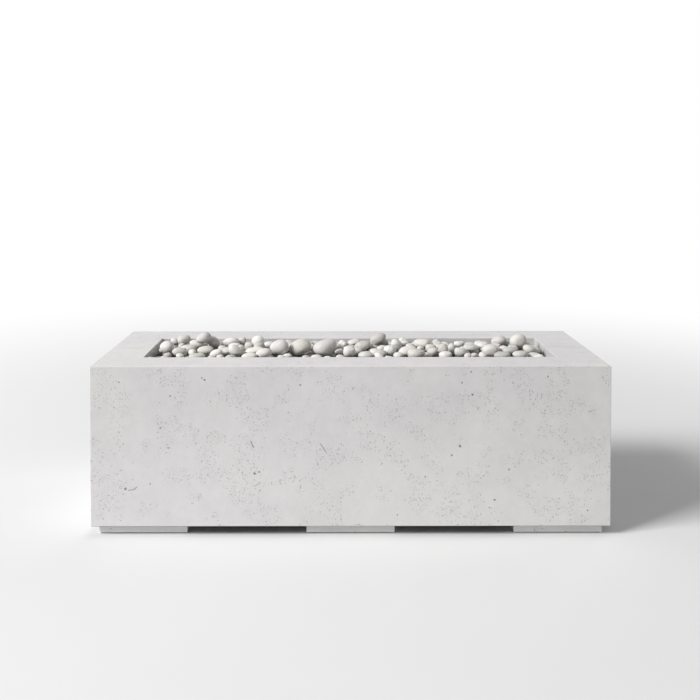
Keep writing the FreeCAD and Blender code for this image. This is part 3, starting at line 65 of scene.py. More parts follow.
SHELL = ("shell_front_half", "shell_rear_half")
FEET = (
    "plinth_foot_front_left", "plinth_foot_front_centre", "plinth_foot_front_right",
    "plinth_foot_rear_left", "plinth_foot_rear_centre", "plinth_foot_rear_right",
)
GALVANISED = (
    "joint_plates", "cross_rails", "pan_ledges_long", "pan_ledges_short", "heat_shield",
    "regulator_bracket",
)
ZINC = (
    "joint_plate_washers", "frame_bolts", "hex_nuts", "shield_standoffs", "valve_stem", "steel_pipes",
    "hinge_pins", "catch_keeper",
)
STAINLESS_SHEET = (
    "burner_pan", "control_box", "pilot_bracket", "inlet_plate", "door_frame", "service_door",
    "hinge_frame_leaves", "hinge_door_leaves", "door_pull", "panel_screws",
)
STAINLESS_BURNER = ("burner_tube", "burner_end_caps", "burner_stands")
BRASS = (
    "joint_plate_inserts", "burner_locknut", "air_mixer", "gas_orifice", "flex_nuts", "valve_push_collar",
    "gas_inlet_fitting", "shutoff_valve",
)
CAST_ALUMINIUM = ("gas_valve", "regulator")
BLACK_MOULDED = ("igniter_body", "igniter_nut", "magnetic_catch")

# Hairline cracks on the front face: where each starts and ends along X and up Z, and its half width
FRONT_CRACKS = (
    (-0.2920, 0.2800, -0.2830, 0.2620, 0.0010),
    (-0.0885, 0.2725, -0.0805, 0.2620, 0.0008),
    (-0.0805, 0.2620, -0.0735, 0.2505, 0.0010),
    (-0.6510, 0.1350, -0.6340, 0.1365, 0.0007),
    (-0.6340, 0.1365, -0.6240, 0.1450, 0.0008),
    (-0.2810, 0.1480, -0.2640, 0.1590, 0.0005),
)
# Worn form of a pebble, where its half sizes are 1: least power of the rounded box, greatest bend, numbers
# of lump waves and of flat faces, share of the stone past a flat face that is worn off, and farthest point
LEAST_POWER = 2.05
MOST_BEND = 0.10
LUMP_WAVES = 4
FLAT_FACES = 4
WORN_SHARE = 0.5
FARTHEST = 1.04
# Pinholes of the concrete in three widths: size of a cell as a share of the spacing, least and greatest
# radius as shares of a cell, and darkness
PINHOLES = ((1.0, 0.08, 0.22, 0.66), (0.55, 0.12, 0.29, 0.52), (4.0, 0.015, 0.052, 0.88))
# Deeper pits on the front face: place along X and up Z, and radius
FRONT_PITS = (
    (-0.6585, 0.1390, 0.0034), (-0.2800, 0.1840, 0.0030), (-0.2670, 0.1890, 0.0024),
    (0.3200, 0.2650, 0.0032), (0.2960, 0.2380, 0.0024), (0.4650, 0.1950, 0.0024),
    (-0.4340, 0.4660, 0.0022), (-0.4255, 0.4600, 0.0024), (0.3570, 0.4157, 0.0030),
    (0.5772, 0.4686, 0.0024), (0.3263, 0.4510, 0.0022), (0.3524, 0.4833, 0.0018),
    (0.2190, 0.1744, 0.0022), (0.6954, 0.0738, 0.0022), (0.6990, 0.3658, 0.0020),
    (-0.5560, 0.3186, 0.0022), (-0.5327, 0.2599, 0.0018), (-0.6764, 0.4539, 0.0020),
    (-0.5263, 0.4128, 0.0022), (-0.1466, 0.4451, 0.0020), (-0.5860, 0.1538, 0.0018),
    (0.4066, 0.0829, 0.0020), (0.4213, 0.1063, 0.0024), (0.1372, 0.0621, 0.0018),
)

# Rays that show the floor and the world as plain white: the camera's own, and through gloss and glass
SEEN_BY_CAMERA = ("Is Camera Ray", "Is Glossy Ray", "Is Transmission Ray")


class ConcreteSettings(bpy.types.PropertyGroup):
    """Colour and surface of the cast concrete."""

    colour: bpy.props.FloatVectorProperty(
        name="Colour", description="Main colour of the dry concrete", subtype="COLOR", size=3, min=0.0,
        max=1.0, default=(0.678, 0.663, 0.665),
    )
    warm_colour: bpy.props.FloatVectorProperty(
        name="Warm Cloud", description="Colour of the warmer clouds in the concrete", subtype="COLOR",
        size=3, min=0.0, max=1.0, default=(0.678, 0.668, 0.660),
    )
    pit_colour: bpy.props.FloatVectorProperty(
        name="Pinhole", description="Colour inside the pinholes and hairline cracks", subtype="COLOR",
        size=3, min=0.0, max=1.0, default=(0.20, 0.185, 0.17),
    )
    cloud_size: bpy.props.FloatProperty(
        name="Cloud Size", description="Usual width of the pale and dark clouds", unit="LENGTH",
        min=0.02, default=0.22,
    )
    pinhole_spacing: bpy.props.FloatProperty(
        name="Pinhole Spacing", description="Distance between places where a pinhole may be",
        unit="LENGTH", min=0.004, default=0.0085,
    )
    relief: bpy.props.FloatProperty(
        name="Relief", description="Depth of the pinholes and the cast texture", unit="LENGTH", min=0.0,
        default=0.0012,
    )
    roughness: bpy.props.FloatProperty(
        name="Roughness", description="Roughness of the sealed surface", subtype="FACTOR", min=0.0,
        max=1.0, default=0.62,
    )


class PebbleSettings(bpy.types.PropertyGroup):
    """Shape and colour of the river pebbles."""

    pale_colour: bpy.props.FloatVectorProperty(
        name="Pale Stone", description="Colour of the palest pebbles", subtype="COLOR", size=3, min=0.0,
        max=1.0, default=(0.84, 0.82, 0.79),
    )
    grey_colour: bpy.props.FloatVectorProperty(
        name="Grey Stone", description="Colour of the darkest pebbles", subtype="COLOR", size=3,
        min=0.0, max=1.0, default=(0.50, 0.485, 0.455),
    )
    green_colour: bpy.props.FloatVectorProperty(
        name="Green Stone", description="Colour that a few pebbles lean to", subtype="COLOR", size=3,
        min=0.0, max=1.0, default=(0.62, 0.605, 0.54),
    )
    squareness: bpy.props.FloatProperty(
        name="Squareness",
        description="Greatest power of the rounded-box form, where 2 is an ellipsoid", min=2.0,
        default=2.45,
    )
    taper: bpy.props.FloatProperty(
        name="Taper", description="How much one end of a pebble may be thinner than the other",
        subtype="FACTOR", min=0.0, max=0.5, default=0.20,
    )
    lumps: bpy.props.FloatProperty(
        name="Lumps", description="Depth of the low lumps, as a share of the pebble's half size",
        subtype="FACTOR", min=0.0, max=0.2, default=0.035,
    )
    roughness: bpy.props.FloatProperty(
        name="Roughness", description="Roughness of the water-worn surface", subtype="FACTOR", min=0.0,
        max=1.0, default=0.66,
    )
    seed: bpy.props.IntProperty(
        name="Seed", description="Start of the random numbers that shape the pebbles", min=0, default=7,
    )


class FittingSettings(bpy.types.PropertyGroup):
    """Colours of the metal and plastic fittings."""

    stainless_colour: bpy.props.FloatVectorProperty(
        name="Stainless Steel", description="Colour of the brushed stainless steel", subtype="COLOR",
        size=3, min=0.0, max=1.0, default=(0.62, 0.61, 0.60),
    )
    galvanised_colour: bpy.props.FloatVectorProperty(
        name="Galvanised Steel", description="Colour of the zinc spangle", subtype="COLOR", size=3,
        min=0.0, max=1.0, default=(0.50, 0.52, 0.54),
    )
    zinc_colour: bpy.props.FloatVectorProperty(
        name="Zinc Plate", description="Colour of the zinc-plated fasteners", subtype="COLOR", size=3,
        min=0.0, max=1.0, default=(0.58, 0.59, 0.60),
    )
    brass_colour: bpy.props.FloatVectorProperty(
        name="Brass", description="Colour of the machined brass", subtype="COLOR", size=3, min=0.0,
        max=1.0, default=(0.62, 0.45, 0.20),
    )
    aluminium_colour: bpy.props.FloatVectorProperty(
        name="Cast Aluminium", description="Colour of the die-cast aluminium", subtype="COLOR", size=3,
        min=0.0, max=1.0, default=(0.60, 0.61, 0.62),
    )
    knob_colour: bpy.props.FloatVectorProperty(
        name="Knob", description="Colour of the black moulded parts", subtype="COLOR", size=3, min=0.0,
        max=1.0, default=(0.018, 0.018, 0.019),
    )
    button_colour: bpy.props.FloatVectorProperty(
        name="Button", description="Colour of the igniter button", subtype="COLOR", size=3, min=0.0,
        max=1.0, default=(0.42, 0.020, 0.014),
    )
    lever_colour: bpy.props.FloatVectorProperty(
        name="Lever", description="Colour of the painted shut-off lever", subtype="COLOR", size=3,
        min=0.0, max=1.0, default=(0.72, 0.42, 0.015),
    )


class StageSettings(bpy.types.PropertyGroup):
    """Camera, floor and light."""

    camera_place: bpy.props.FloatVectorProperty(
        name="Camera Place", description="Where the camera stands", subtype="TRANSLATION", size=3,
        unit="LENGTH", default=(-0.0368, -2.8712, 1.0823),
    )
    camera_pitch: bpy.props.FloatProperty(
        name="Camera Pitch", description="How far the camera looks down", subtype="ANGLE",
        default=math.radians(1.357),
    )
    camera_roll: bpy.props.FloatProperty(
        name="Camera Roll", description="How far the camera leans to the left", subtype="ANGLE",
        default=math.radians(-0.076),
    )
    camera_shift: bpy.props.FloatVectorProperty(
        name="Camera Shift", description="Shift of the picture, as a share of its width", size=2,
        default=(0.0177, -0.2318),
    )
    lens: bpy.props.FloatProperty(
        name="Lens", description="Focal length in millimetres on a 36 mm sensor", min=10.0,
        default=45.89,
    )
    floor_colour: bpy.props.FloatVectorProperty(
        name="Floor", description="Colour of the plain floor", subtype="COLOR", size=3, min=0.0,
        max=1.0, default=(0.80, 0.80, 0.80),
    )
    key_place: bpy.props.FloatVectorProperty(
        name="Key Place", description="Where the large soft light at the upper left hangs", size=3,
        subtype="TRANSLATION", unit="LENGTH", default=(-9.6, -5.1, 8.0),
    )
    key_size: bpy.props.FloatProperty(
        name="Key Size", description="Width of the large soft light", unit="LENGTH", min=0.1,
        default=5.0,
    )
    key_power: bpy.props.FloatProperty(
        name="Key Light", description="Power of the large soft light at the upper left", min=0.0,
        default=2030.0,
    )
    fill_place: bpy.props.FloatVectorProperty(
        name="Fill Place", description="Where the weak light behind at the right hangs", size=3,
        subtype="TRANSLATION", unit="LENGTH", default=(4.8, 3.6, 5.0),
    )
    fill_size: bpy.props.FloatProperty(
        name="Fill Size", description="Width of the weak light", unit="LENGTH", min=0.1, default=3.0,
    )
    fill_power: bpy.props.FloatProperty(
        name="Fill Light", description="Power of the weak light behind at the right", min=0.0,
        default=50.0,
    )
    sky_strength: bpy.props.FloatProperty(
        name="Sky", description="Strength of the even light from all round", min=0.0, default=0.27,
    )


class Recipe:
    """A material of nodes round one Principled shader, with patterns in the object's own metres."""

    def __init__(self, name):
        self.material = bpy.data.materials.new(name)
        self.material.use_nodes = True
        self.tree = self.material.node_tree
        self.tree.nodes.clear()
        output = self.add("ShaderNodeOutputMaterial")
        self.shader = self.add("ShaderNodeBsdfPrincipled")
        self.tree.links.new(self.shader.outputs["BSDF"], output.inputs["Surface"])
        self.place = self.add("ShaderNodeTexCoord").outputs["Object"]

    def add(self, kind, **settings):
        """A node with its settings made."""
        node = self.tree.nodes.new(kind)
        for key, value in settings.items():
            setattr(node, key, value)
        return node

    def feed(self, socket, value):
        """Link an output to the socket, or set the socket to a number or colour."""
        if isinstance(value, bpy.types.NodeSocket):
            self.tree.links.new(value, socket)
        elif isinstance(value, (tuple, list)) and len(value) == 3 and socket.type == "RGBA":
            socket.default_value = (*value, 1.0)
        else:
            socket.default_value = value

    def set(self, **values):
        """Feed the shader's inputs, named with underscores for spaces."""
        for key, value in values.items():
            self.feed(self.shader.inputs[key.replace("_", " ")], value)

    def stretched(self, scale):
        """The place multiplied by a different scale along each axis."""
        node = self.add("ShaderNodeMapping")
        self.feed(node.inputs["Vector"], self.place)
        node.inputs["Scale"].default_value = scale
        return node.outputs["Vector"]

    def noise(self, size, detail=3.0, roughness=0.5, place=None, distortion=0.0):
        """Soft noise whose lumps are about as wide as the size, from 0 to 1."""
        node = self.add("ShaderNodeTexNoise")
        self.feed(node.inputs["Vector"], place or self.place)
        node.inputs["Scale"].default_value = 1.0 / size
        node.inputs["Detail"].default_value = detail
        node.inputs["Roughness"].default_value = roughness
        node.inputs["Distortion"].default_value = distortion
        return node.outputs["Fac"]

    def moved(self, push):
        """The place moved by a vector."""
        total = self.add("ShaderNodeVectorMath", operation="ADD")
        self.feed(total.inputs[0], self.place)
        self.feed(total.inputs[1], push)
        return total.outputs["Vector"]

    def ragged(self, size, reach):
        """The place pushed to and fro by noise of one width, so that round forms become ragged."""
        node = self.add("ShaderNodeTexNoise")
        self.feed(node.inputs["Vector"], self.place)
        node.inputs["Scale"].default_value = 1.0 / size
        node.inputs["Detail"].default_value = 2.0
        return self.moved(self.toned(node.outputs["Color"], reach))

    def cells(self, size, place=None):
        """Cells about as wide as the size: distance from each cell's point, and the cell's own colour."""
        node = self.add("ShaderNodeTexVoronoi")
        self.feed(node.inputs["Vector"], place or self.place)
        node.inputs["Scale"].default_value = 1.0 / size
        return node.outputs

    def level(self, value, low, high, to_low=0.0, to_high=1.0):
        """The value carried from one range to another, smoothly and without leaving it."""
        node = self.add("ShaderNodeMapRange", interpolation_type="SMOOTHSTEP")
        self.feed(node.inputs["Value"], value)
        node.inputs["From Min"].default_value = low
        node.inputs["From Max"].default_value = high
        node.inputs["To Min"].default_value = to_low
        node.inputs["To Max"].default_value = to_high
        return node.outputs["Result"]

    def chain(self, operation, *values):
        """A chain of one arithmetic operation over all the values."""
        result = values[0]
        for value in values[1:]:
            node = self.add("ShaderNodeMath", operation=operation)
            self.feed(node.inputs[0], result)
            self.feed(node.inputs[1], value)
            result = node.outputs["Value"]
        return result

    def length(self, x, y):
        """The square root of x^2 + y^2."""
        squares = self.chain("ADD", self.chain("MULTIPLY", x, x), self.chain("MULTIPLY", y, y))
        return self.chain("POWER", squares, 0.5)

    def parts(self, vector):
        """The three components of a vector or colour."""
        node = self.add("ShaderNodeSeparateXYZ")
        self.feed(node.inputs["Vector"], vector)
        return node.outputs["X"], node.outputs["Y"], node.outputs["Z"]

    def mixed(self, share, first, second):
        """A colour between two."""
        node = self.add("ShaderNodeMix", data_type="RGBA")
        colours = [socket for socket in node.inputs if socket.type == "RGBA"]
        self.feed(node.inputs["Factor"], share)
        self.feed(colours[0], first)
        self.feed(colours[1], second)
        return [socket for socket in node.outputs if socket.type == "RGBA"][0]

    def toned(self, colour, amount):
        """A colour made lighter or darker by a number."""
        node = self.add("ShaderNodeVectorMath", operation="SCALE")
        self.feed(node.inputs[0], colour)
        self.feed(node.inputs["Scale"], amount)
        return node.outputs["Vector"]

    def raised(self, height, distance):
        """Bend the shading by a height pattern, whose full range is the distance."""
        node = self.add("ShaderNodeBump")
        node.inputs["Strength"].default_value = 1.0
        node.inputs["Distance"].default_value = distance
        self.feed(node.inputs["Height"], height)
        self.feed(self.shader.inputs["Normal"], node.outputs["Normal"])


def finish_nodes(names, material):
    """Give the CAD nodes one material."""
    for name in names:
        slots = nodes[name].data.materials
        if len(slots):
            for number in range(len(slots)):
                slots[number] = material
        else:
            slots.append(material)


def near_segment(recipe, x, z, mark):
    """How far a point of the front face is from a short straight crack, in metres.

    With p the point, a and b the ends, and t = ((p - a) . (b - a)) / |b - a|^2 held between 0 and 1, the
    distance is |p - a - t (b - a)|.
    """
    x0, z0, x1, z1, _ = mark
    dx = x1 - x0
    dz = z1 - z0
    length_squared = dx * dx + dz * dz
    from_x = recipe.chain("SUBTRACT", x, x0)
    from_z = recipe.chain("SUBTRACT", z, z0)
    along = recipe.chain(
        "ADD",
        recipe.chain("MULTIPLY", from_x, dx / length_squared),
        recipe.chain("MULTIPLY", from_z, dz / length_squared),
    )
    held = recipe.add("ShaderNodeClamp")
    recipe.feed(held.inputs["Value"], along)
    share = held.outputs["Result"]
    off_x = recipe.chain("SUBTRACT", from_x, recipe.chain("MULTIPLY", share, dx))
    off_z = recipe.chain("SUBTRACT", from_z, recipe.chain("MULTIPLY", share, dz))
    return recipe.length(off_x, off_z)


def pinholes(recipe, spacing):
    """Depth of the pinholes, from 0 to 1: ragged round holes of three widths, thick in some patches.

    A hole lies where the distance d from a cell's point is under that cell's own radius r, and its depth
    goes up smoothly with r - d. Cells whose random number is over the patch's share have none.
    """
    patch = recipe.level(recipe.noise(0.065, detail=3.5), 0.46, 0.63, 0.02, 0.80)
    place = recipe.ragged(0.003, 0.0016)
    holes = 0.0
    for size, least, most, darkness in PINHOLES:
        cell = recipe.cells(spacing * size, place)
        red, green, _ = recipe.parts(cell["Color"])
        depth = recipe.chain("SUBTRACT", recipe.level(red, 0.0, 1.0, least, most), cell["Distance"])
        hole = recipe.level(depth, most * -0.15, most * 0.25, 0.0, darkness)
        kept = recipe.chain("LESS_THAN", green, patch)
        holes = recipe.chain("MAXIMUM", holes, recipe.chain("MULTIPLY", hole, kept))
    return holes


def front_marks(recipe, holes):
    """The holes with the front face's cracks and pits added, both pushed a few millimetres by noise."""
    wander = recipe.chain("SUBTRACT", recipe.noise(0.012, detail=2.0), 0.5)
    x, y, z = recipe.parts(recipe.place)
    x = recipe.chain("ADD", x, recipe.chain("MULTIPLY", wander, 0.006))
    z = recipe.chain("ADD", z, recipe.chain("MULTIPLY", wander, -0.005))
    front = recipe.chain("LESS_THAN", y, FRONT + 0.0015)
    moved = recipe.add("ShaderNodeCombineXYZ")
    recipe.feed(moved.inputs["X"], x)
    recipe.feed(moved.inputs["Y"], y)
    recipe.feed(moved.inputs["Z"], z)
    for mark in FRONT_CRACKS:
        width = mark[4]
        line = recipe.level(near_segment(recipe, x, z, mark), width * 2.2, width * 0.4, 0.0, 0.75)
        holes = recipe.chain("MAXIMUM", holes, recipe.chain("MULTIPLY", line, front))
    for along, up, radius in FRONT_PITS:
        away = recipe.add("ShaderNodeVectorMath", operation="DISTANCE")
        recipe.feed(away.inputs[0], moved.outputs["Vector"])
        away.inputs[1].default_value = (along, FRONT, up)
        pit = recipe.level(away.outputs["Value"], radius * 1.5, radius * 0.6)
        holes = recipe.chain("MAXIMUM", holes, pit)
    return holes


def cast_concrete(name, settings, with_marks, painted_light_factor=1.0):
    """Pale sealed concrete: soft clouds, fine sand grain, clustered pinholes and hairline cracks.

    Painted light: the rim is painted paler than the tops of the walls under it, and the walls are painted
    paler towards the floor, for light thrown up by the floor. Painted shade: with marks the underside is
    painted dark; without them a painted light factor lifts the whole copy instead.
    """
    recipe = Recipe(name)
    _, _, up = recipe.parts(recipe.place)
    # Height up the walls, 0 on the rim, which carries the painted floor light below
    painted_bounce_height = recipe.chain("MULTIPLY", up, recipe.chain("LESS_THAN", up, RIM - 0.0005))
    clouds = recipe.noise(settings.cloud_size, detail=4.0, roughness=0.55)
    mottle = recipe.noise(0.035, detail=6.0, roughness=0.62)
    grain = recipe.noise(0.0022, detail=3.0, roughness=0.6)
    warmth = recipe.level(recipe.noise(0.45, detail=2.0), 0.38, 0.66)
    base = recipe.mixed(warmth, tuple(settings.colour), tuple(settings.warm_colour))
    tone = recipe.chain(
        "MULTIPLY",
        recipe.level(clouds, 0.30, 0.70, 0.955, 1.02),
        recipe.level(mottle, 0.30, 0.72, 0.965, 1.015),
        recipe.level(grain, 0.25, 0.75, 0.975, 1.015),
        # Painted light: walls darker at the top and paler towards the floor, rim as pale as the wall foot
        recipe.level(painted_bounce_height, 0.03, 0.47, 1.045, 0.938),
        # Painted shade: with marks, the underside is painted at a fifth of the colour; without them the
        # painted light factor scales the whole copy
        recipe.level(up, UNDERSIDE + 0.0005, UNDERSIDE + 0.002, 0.20, 1.0) if with_marks else painted_light_factor,
    )
    base = recipe.toned(base, tone)
    holes = pinholes(recipe, settings.pinhole_spacing)
    if with_marks:
        holes = front_marks(recipe, holes)
    recipe.set(
        Base_Color=recipe.mixed(recipe.chain("MULTIPLY", holes, 0.90), base, tuple(settings.pit_colour)),
        Roughness=settings.roughness, Specular_IOR_Level=0.35,
    )
    relief = recipe.chain(
        "ADD",
        recipe.chain("MULTIPLY", holes, -1.0),
        recipe.chain("MULTIPLY", recipe.noise(0.012, detail=3.0), 0.12),
        recipe.chain("MULTIPLY", recipe.noise(0.09, detail=2.0), 0.30),
    )
    recipe.raised(relief, settings.relief)
    return recipe.material


def brushed_steel(name, colour, grain_scale, roughness):
    """Brushed metal: long fine scratches along one axis, and faint wider streaks."""
    recipe = Recipe(name)
    scratches = recipe.noise(1.0, detail=4.0, roughness=0.6, place=recipe.stretched(grain_scale))
    streak_scale = [value * 0.12 for value in grain_scale]
    streaks = recipe.noise(1.0, detail=2.0, roughness=0.5, place=recipe.stretched(streak_scale))
    tone = recipe.chain(
        "MULTIPLY",
        recipe.level(scratches, 0.2, 0.8, 0.90, 1.06),
        recipe.level(streaks, 0.3, 0.7, 0.96, 1.03),
    )
    recipe.set(
        Base_Color=recipe.toned(tuple(colour), tone), Metallic=1.0,
        Roughness=recipe.level(scratches, 0.2, 0.8, roughness - 0.06, roughness + 0.08),
    )
    recipe.raised(scratches, 0.00006)
    return recipe.material


def galvanised_steel(settings):
    """Zinc spangle: flat crystals 8 mm wide in slightly different greys, dull and faintly stained."""
    recipe = Recipe("galvanised_spangle")
    spangle = recipe.cells(0.008)
    red, _, _ = recipe.parts(spangle["Color"])
    stain = recipe.noise(0.06, detail=4.0, roughness=0.6)
    tone = recipe.chain(
        "MULTIPLY", recipe.level(red, 0.0, 1.0, 0.86, 1.08), recipe.level(stain, 0.3, 0.7, 0.93, 1.03),
    )
    recipe.set(
        Base_Color=recipe.toned(tuple(settings.galvanised_colour), tone), Metallic=0.85,
        Roughness=recipe.level(red, 0.0, 1.0, 0.42, 0.58),
    )
    recipe.raised(recipe.noise(0.004, detail=3.0), 0.00008)
    return recipe.material


def satin_metal(name, colour, roughness, blotch=0.03, grain=0.0006):
    """Plated or machined metal: a soft blotch in the colour and a very fine grain."""
    recipe = Recipe(name)
    cloud = recipe.noise(blotch, detail=3.0)
    fine = recipe.noise(grain, detail=2.0)
    tone = recipe.chain(
        "MULTIPLY", recipe.level(cloud, 0.3, 0.7, 0.92, 1.05), recipe.level(fine, 0.2, 0.8, 0.96, 1.03),
    )
    recipe.set(
        Base_Color=recipe.toned(tuple(colour), tone), Metallic=1.0,
        Roughness=recipe.level(cloud, 0.3, 0.7, roughness - 0.05, roughness + 0.07),
    )
    recipe.raised(fine, 0.00004)
    return recipe.material


def heated_steel(settings):
    """Burner steel: soft clouds of straw and blue heat tint over a brushed base."""
    straw = (0.48, 0.36, 0.22)
    blue = (0.20, 0.21, 0.30)
    recipe = Recipe("heat_tinted_burner_steel")
    scratches = recipe.noise(1.0, detail=4.0, roughness=0.6, place=recipe.stretched((90.0, 900.0, 900.0)))
    cloud = recipe.noise(0.05, detail=3.0, roughness=0.6)
    tinted = recipe.mixed(recipe.level(cloud, 0.35, 0.62), tuple(settings.stainless_colour), straw)
    tinted = recipe.mixed(recipe.level(cloud, 0.58, 0.74), tinted, blue)
    recipe.set(
        Base_Color=recipe.toned(tinted, recipe.level(scratches, 0.2, 0.8, 0.85, 1.0)), Metallic=1.0,
        Roughness=recipe.level(scratches, 0.2, 0.8, 0.36, 0.52),
    )
    recipe.raised(scratches, 0.00006)
    return recipe.material


def moulded(name, colour, roughness, texture=0.0009, depth=0.00008):
    """Moulded plastic, rubber or paint: a fine leather-like texture and slightly worn, paler patches."""
    recipe = Recipe(name)
    skin = recipe.noise(texture, detail=3.0, roughness=0.6)
    wear = recipe.noise(0.018, detail=4.0, roughness=0.6)
    worn_colour = [min(1.0, value * 1.35 + 0.012) for value in colour]
    recipe.set(
        Base_Color=recipe.mixed(recipe.level(wear, 0.52, 0.80, 0.0, 0.6), tuple(colour), worn_colour),
        Roughness=recipe.level(skin, 0.2, 0.8, roughness - 0.05, roughness + 0.06),
    )
    recipe.raised(skin, depth)
    return recipe.material


def lava_rock():
    """Dark porous rock: open bubbles of two sizes in a rusty black mass."""
    black_rock = (0.040, 0.036, 0.034)
    rusty_rock = (0.085, 0.062, 0.050)
    recipe = Recipe("lava_rock_pores")
    lump = recipe.noise(0.022, detail=5.0, roughness=0.65)
    bubble = recipe.cells(0.007)["Distance"]
    pore = recipe.cells(0.0026)["Distance"]
    colour = recipe.mixed(recipe.level(lump, 0.40, 0.62), black_rock, rusty_rock)
    recipe.set(
        Base_Color=recipe.toned(colour, recipe.level(bubble, 0.1, 0.5, 0.45, 1.1)), Roughness=0.92,
    )
    recipe.raised(
        recipe.chain(
            "ADD", recipe.chain("MULTIPLY", lump, 2.2), recipe.chain("MULTIPLY", bubble, 0.8),
            recipe.chain("MULTIPLY", pore, 0.3),
        ),
        0.005,
    )
    return recipe.material


def joint_sealant():
    """Grey sealant in the end joints, pitted and dusty."""
    clean_grey = (0.30, 0.295, 0.285)
    dusty_grey = (0.40, 0.39, 0.375)
    recipe = Recipe("joint_sealant_pitted")
    pit = recipe.cells(0.0045)["Distance"]
    dust_and_shade = recipe.noise(0.02, detail=4.0, roughness=0.6)
    colour = recipe.mixed(recipe.level(dust_and_shade, 0.4, 0.7), clean_grey, dusty_grey)
    recipe.set(Base_Color=recipe.toned(colour, recipe.level(pit, 0.05, 0.35, 0.45, 1.0)), Roughness=0.85)
    recipe.raised(pit, 0.0006)
    return recipe.material


def river_stone(settings):
    """Water-worn pebble: each stone's own tone, soft clouds, fine speckle and dark flecks in patches."""
    fleck_colour = (0.20, 0.18, 0.15)
    recipe = Recipe("river_stone")
    tone = recipe.add("ShaderNodeAttribute", attribute_name="stone_tone").outputs["Color"]
    shift = recipe.add("ShaderNodeAttribute", attribute_name="stone_shift").outputs["Vector"]
    place = recipe.moved(shift)
    cloud = recipe.noise(0.030, detail=4.0, roughness=0.6, place=place, distortion=0.4)
    speckle = recipe.noise(0.0026, detail=3.0, roughness=0.65, place=place)
    fleck_cell = recipe.cells(0.0055, place)
    red, green, _ = recipe.parts(fleck_cell["Color"])
    depth = recipe.chain("SUBTRACT", recipe.chain("MULTIPLY", red, 0.22), fleck_cell["Distance"])
    small = recipe.level(depth, -0.02, 0.04)
    patches = recipe.level(recipe.noise(0.05, detail=1.0, roughness=0.5, place=place), 0.44, 0.62)
    flecks = recipe.chain("MULTIPLY", small, recipe.chain("LESS_THAN", green, 0.40), patches)
    shade = recipe.chain(
        "MULTIPLY",
        recipe.level(cloud, 0.28, 0.72, 0.90, 1.06),
        recipe.level(speckle, 0.25, 0.75, 0.94, 1.04),
    )
    base = recipe.toned(tone, shade)
    recipe.set(
        Base_Color=recipe.mixed(recipe.chain("MULTIPLY", flecks, 0.7), base, fleck_colour),
        Roughness=recipe.level(cloud, 0.3, 0.7, settings.roughness - 0.05, settings.roughness + 0.06),
        Specular_IOR_Level=0.4,
    )
    recipe.raised(recipe.chain("ADD", cloud, recipe.chain("MULTIPLY", speckle, 0.34)), 0.0011)
    return recipe.material


def loose_solids(node):
    """Centre, axes and half sizes of each ellipsoid in a CAD node that holds many of them.

    The triangles of one solid follow each other, so a new solid starts where no earlier triangle shares a
    corner with a later one. Each solid is split into tetrahedra from its mean point. With volume V and
    second moments M of the solid about its centre, an ellipsoid with half sizes a has M = V a^2 / 5 along
    its axes.
    """
    mesh = node.data
    mesh.calc_loop_triangles()
    count = len(mesh.loop_triangles)
    corners = np.empty(count * 3, np.int32)
    mesh.loop_triangles.foreach_get("vertices", corners)
    points = np.empty(len(mesh.vertices) * 3, np.float32)
    mesh.vertices.foreach_get("co", points)
    points = points.reshape(-1, 3)
    micrometres = np.round(points.astype(np.float64) * 1e6).astype(np.int64)
    _, merged = np.unique(micrometres, axis=0, return_inverse=True)
    merged = merged.ravel()
    corner_key = merged[corners].reshape(-1, 3)
    last = np.zeros(merged.max() + 1, np.int64)
    order = np.repeat(np.arange(count), 3)
    np.maximum.at(last, corner_key.ravel(), order)
    reach = np.maximum.accumulate(last[corner_key].max(axis=1))
    starts = np.flatnonzero(np.concatenate(([True], reach[:-1] < np.arange(1, count))))
    stops = np.append(starts[1:], count)

    triangles = points.astype(np.float64)[corners].reshape(-1, 3, 3)
    solid = np.repeat(np.arange(len(starts)), stops - starts)
    middle = np.add.reduceat(triangles.mean(axis=1), starts) / (stops - starts)[:, None]
    local = triangles - middle[solid][:, None, :]
    volume = np.einsum("ij,ij->i", local[:, 0], np.cross(local[:, 1], local[:, 2])) / 6.0
    total = np.add.reduceat(volume, starts)
    centroid = local.sum(axis=1) / 4.0
    centre = np.add.reduceat(centroid * volume[:, None], starts) / total[:, None]
    summed = local.sum(axis=1)
    moment = np.einsum("ni,nj->nij", summed, summed) + np.einsum("nki,nkj->nij", local, local)
    moment = np.add.reduceat(moment * (volume / 20.0)[:, None, None], starts)
    moment -= np.einsum("ni,nj->nij", centre, centre) * total[:, None, None]
    squares, axes = np.linalg.eigh(moment / total[:, None, None] * 5.0)
    return middle + centre, axes, np.sqrt(squares)


def pebble_grid(around, up):
    """Unit directions of a closed globe grid with two poles, and its faces.

    Direction (cos v cos u, cos v sin u, sin v), with u going round and v from pole to pole.
    """
    u = np.arange(around) * (2 * math.pi / around)
    v = -math.pi / 2 + math.pi * np.arange(1, up) / up
    u, v = np.meshgrid(u, v)
    ring = np.stack((np.cos(v) * np.cos(u), np.cos(v) * np.sin(u), np.sin(v)), axis=-1).reshape(-1, 3)
    directions = np.concatenate((ring, [(0.0, 0.0, -1.0), (0.0, 0.0, 1.0)]))
    row, column = np.meshgrid(np.arange(up - 2), np.arange(around), indexing="ij")
    after = (column + 1) % around
    low = row * around
    quads = np.stack((low + column, low + after, low + around + after, low + around + column), axis=-1)
    column = np.arange(around)
    after = (column + 1) % around
    south = np.full(around, len(ring))
    top = (up - 2) * around
    lower = np.stack((south, after, column), axis=-1)
    upper = np.stack((south + 1, top + column, top + after), axis=-1)
    return directions, quads.reshape(-1, 4), np.concatenate((lower, upper))


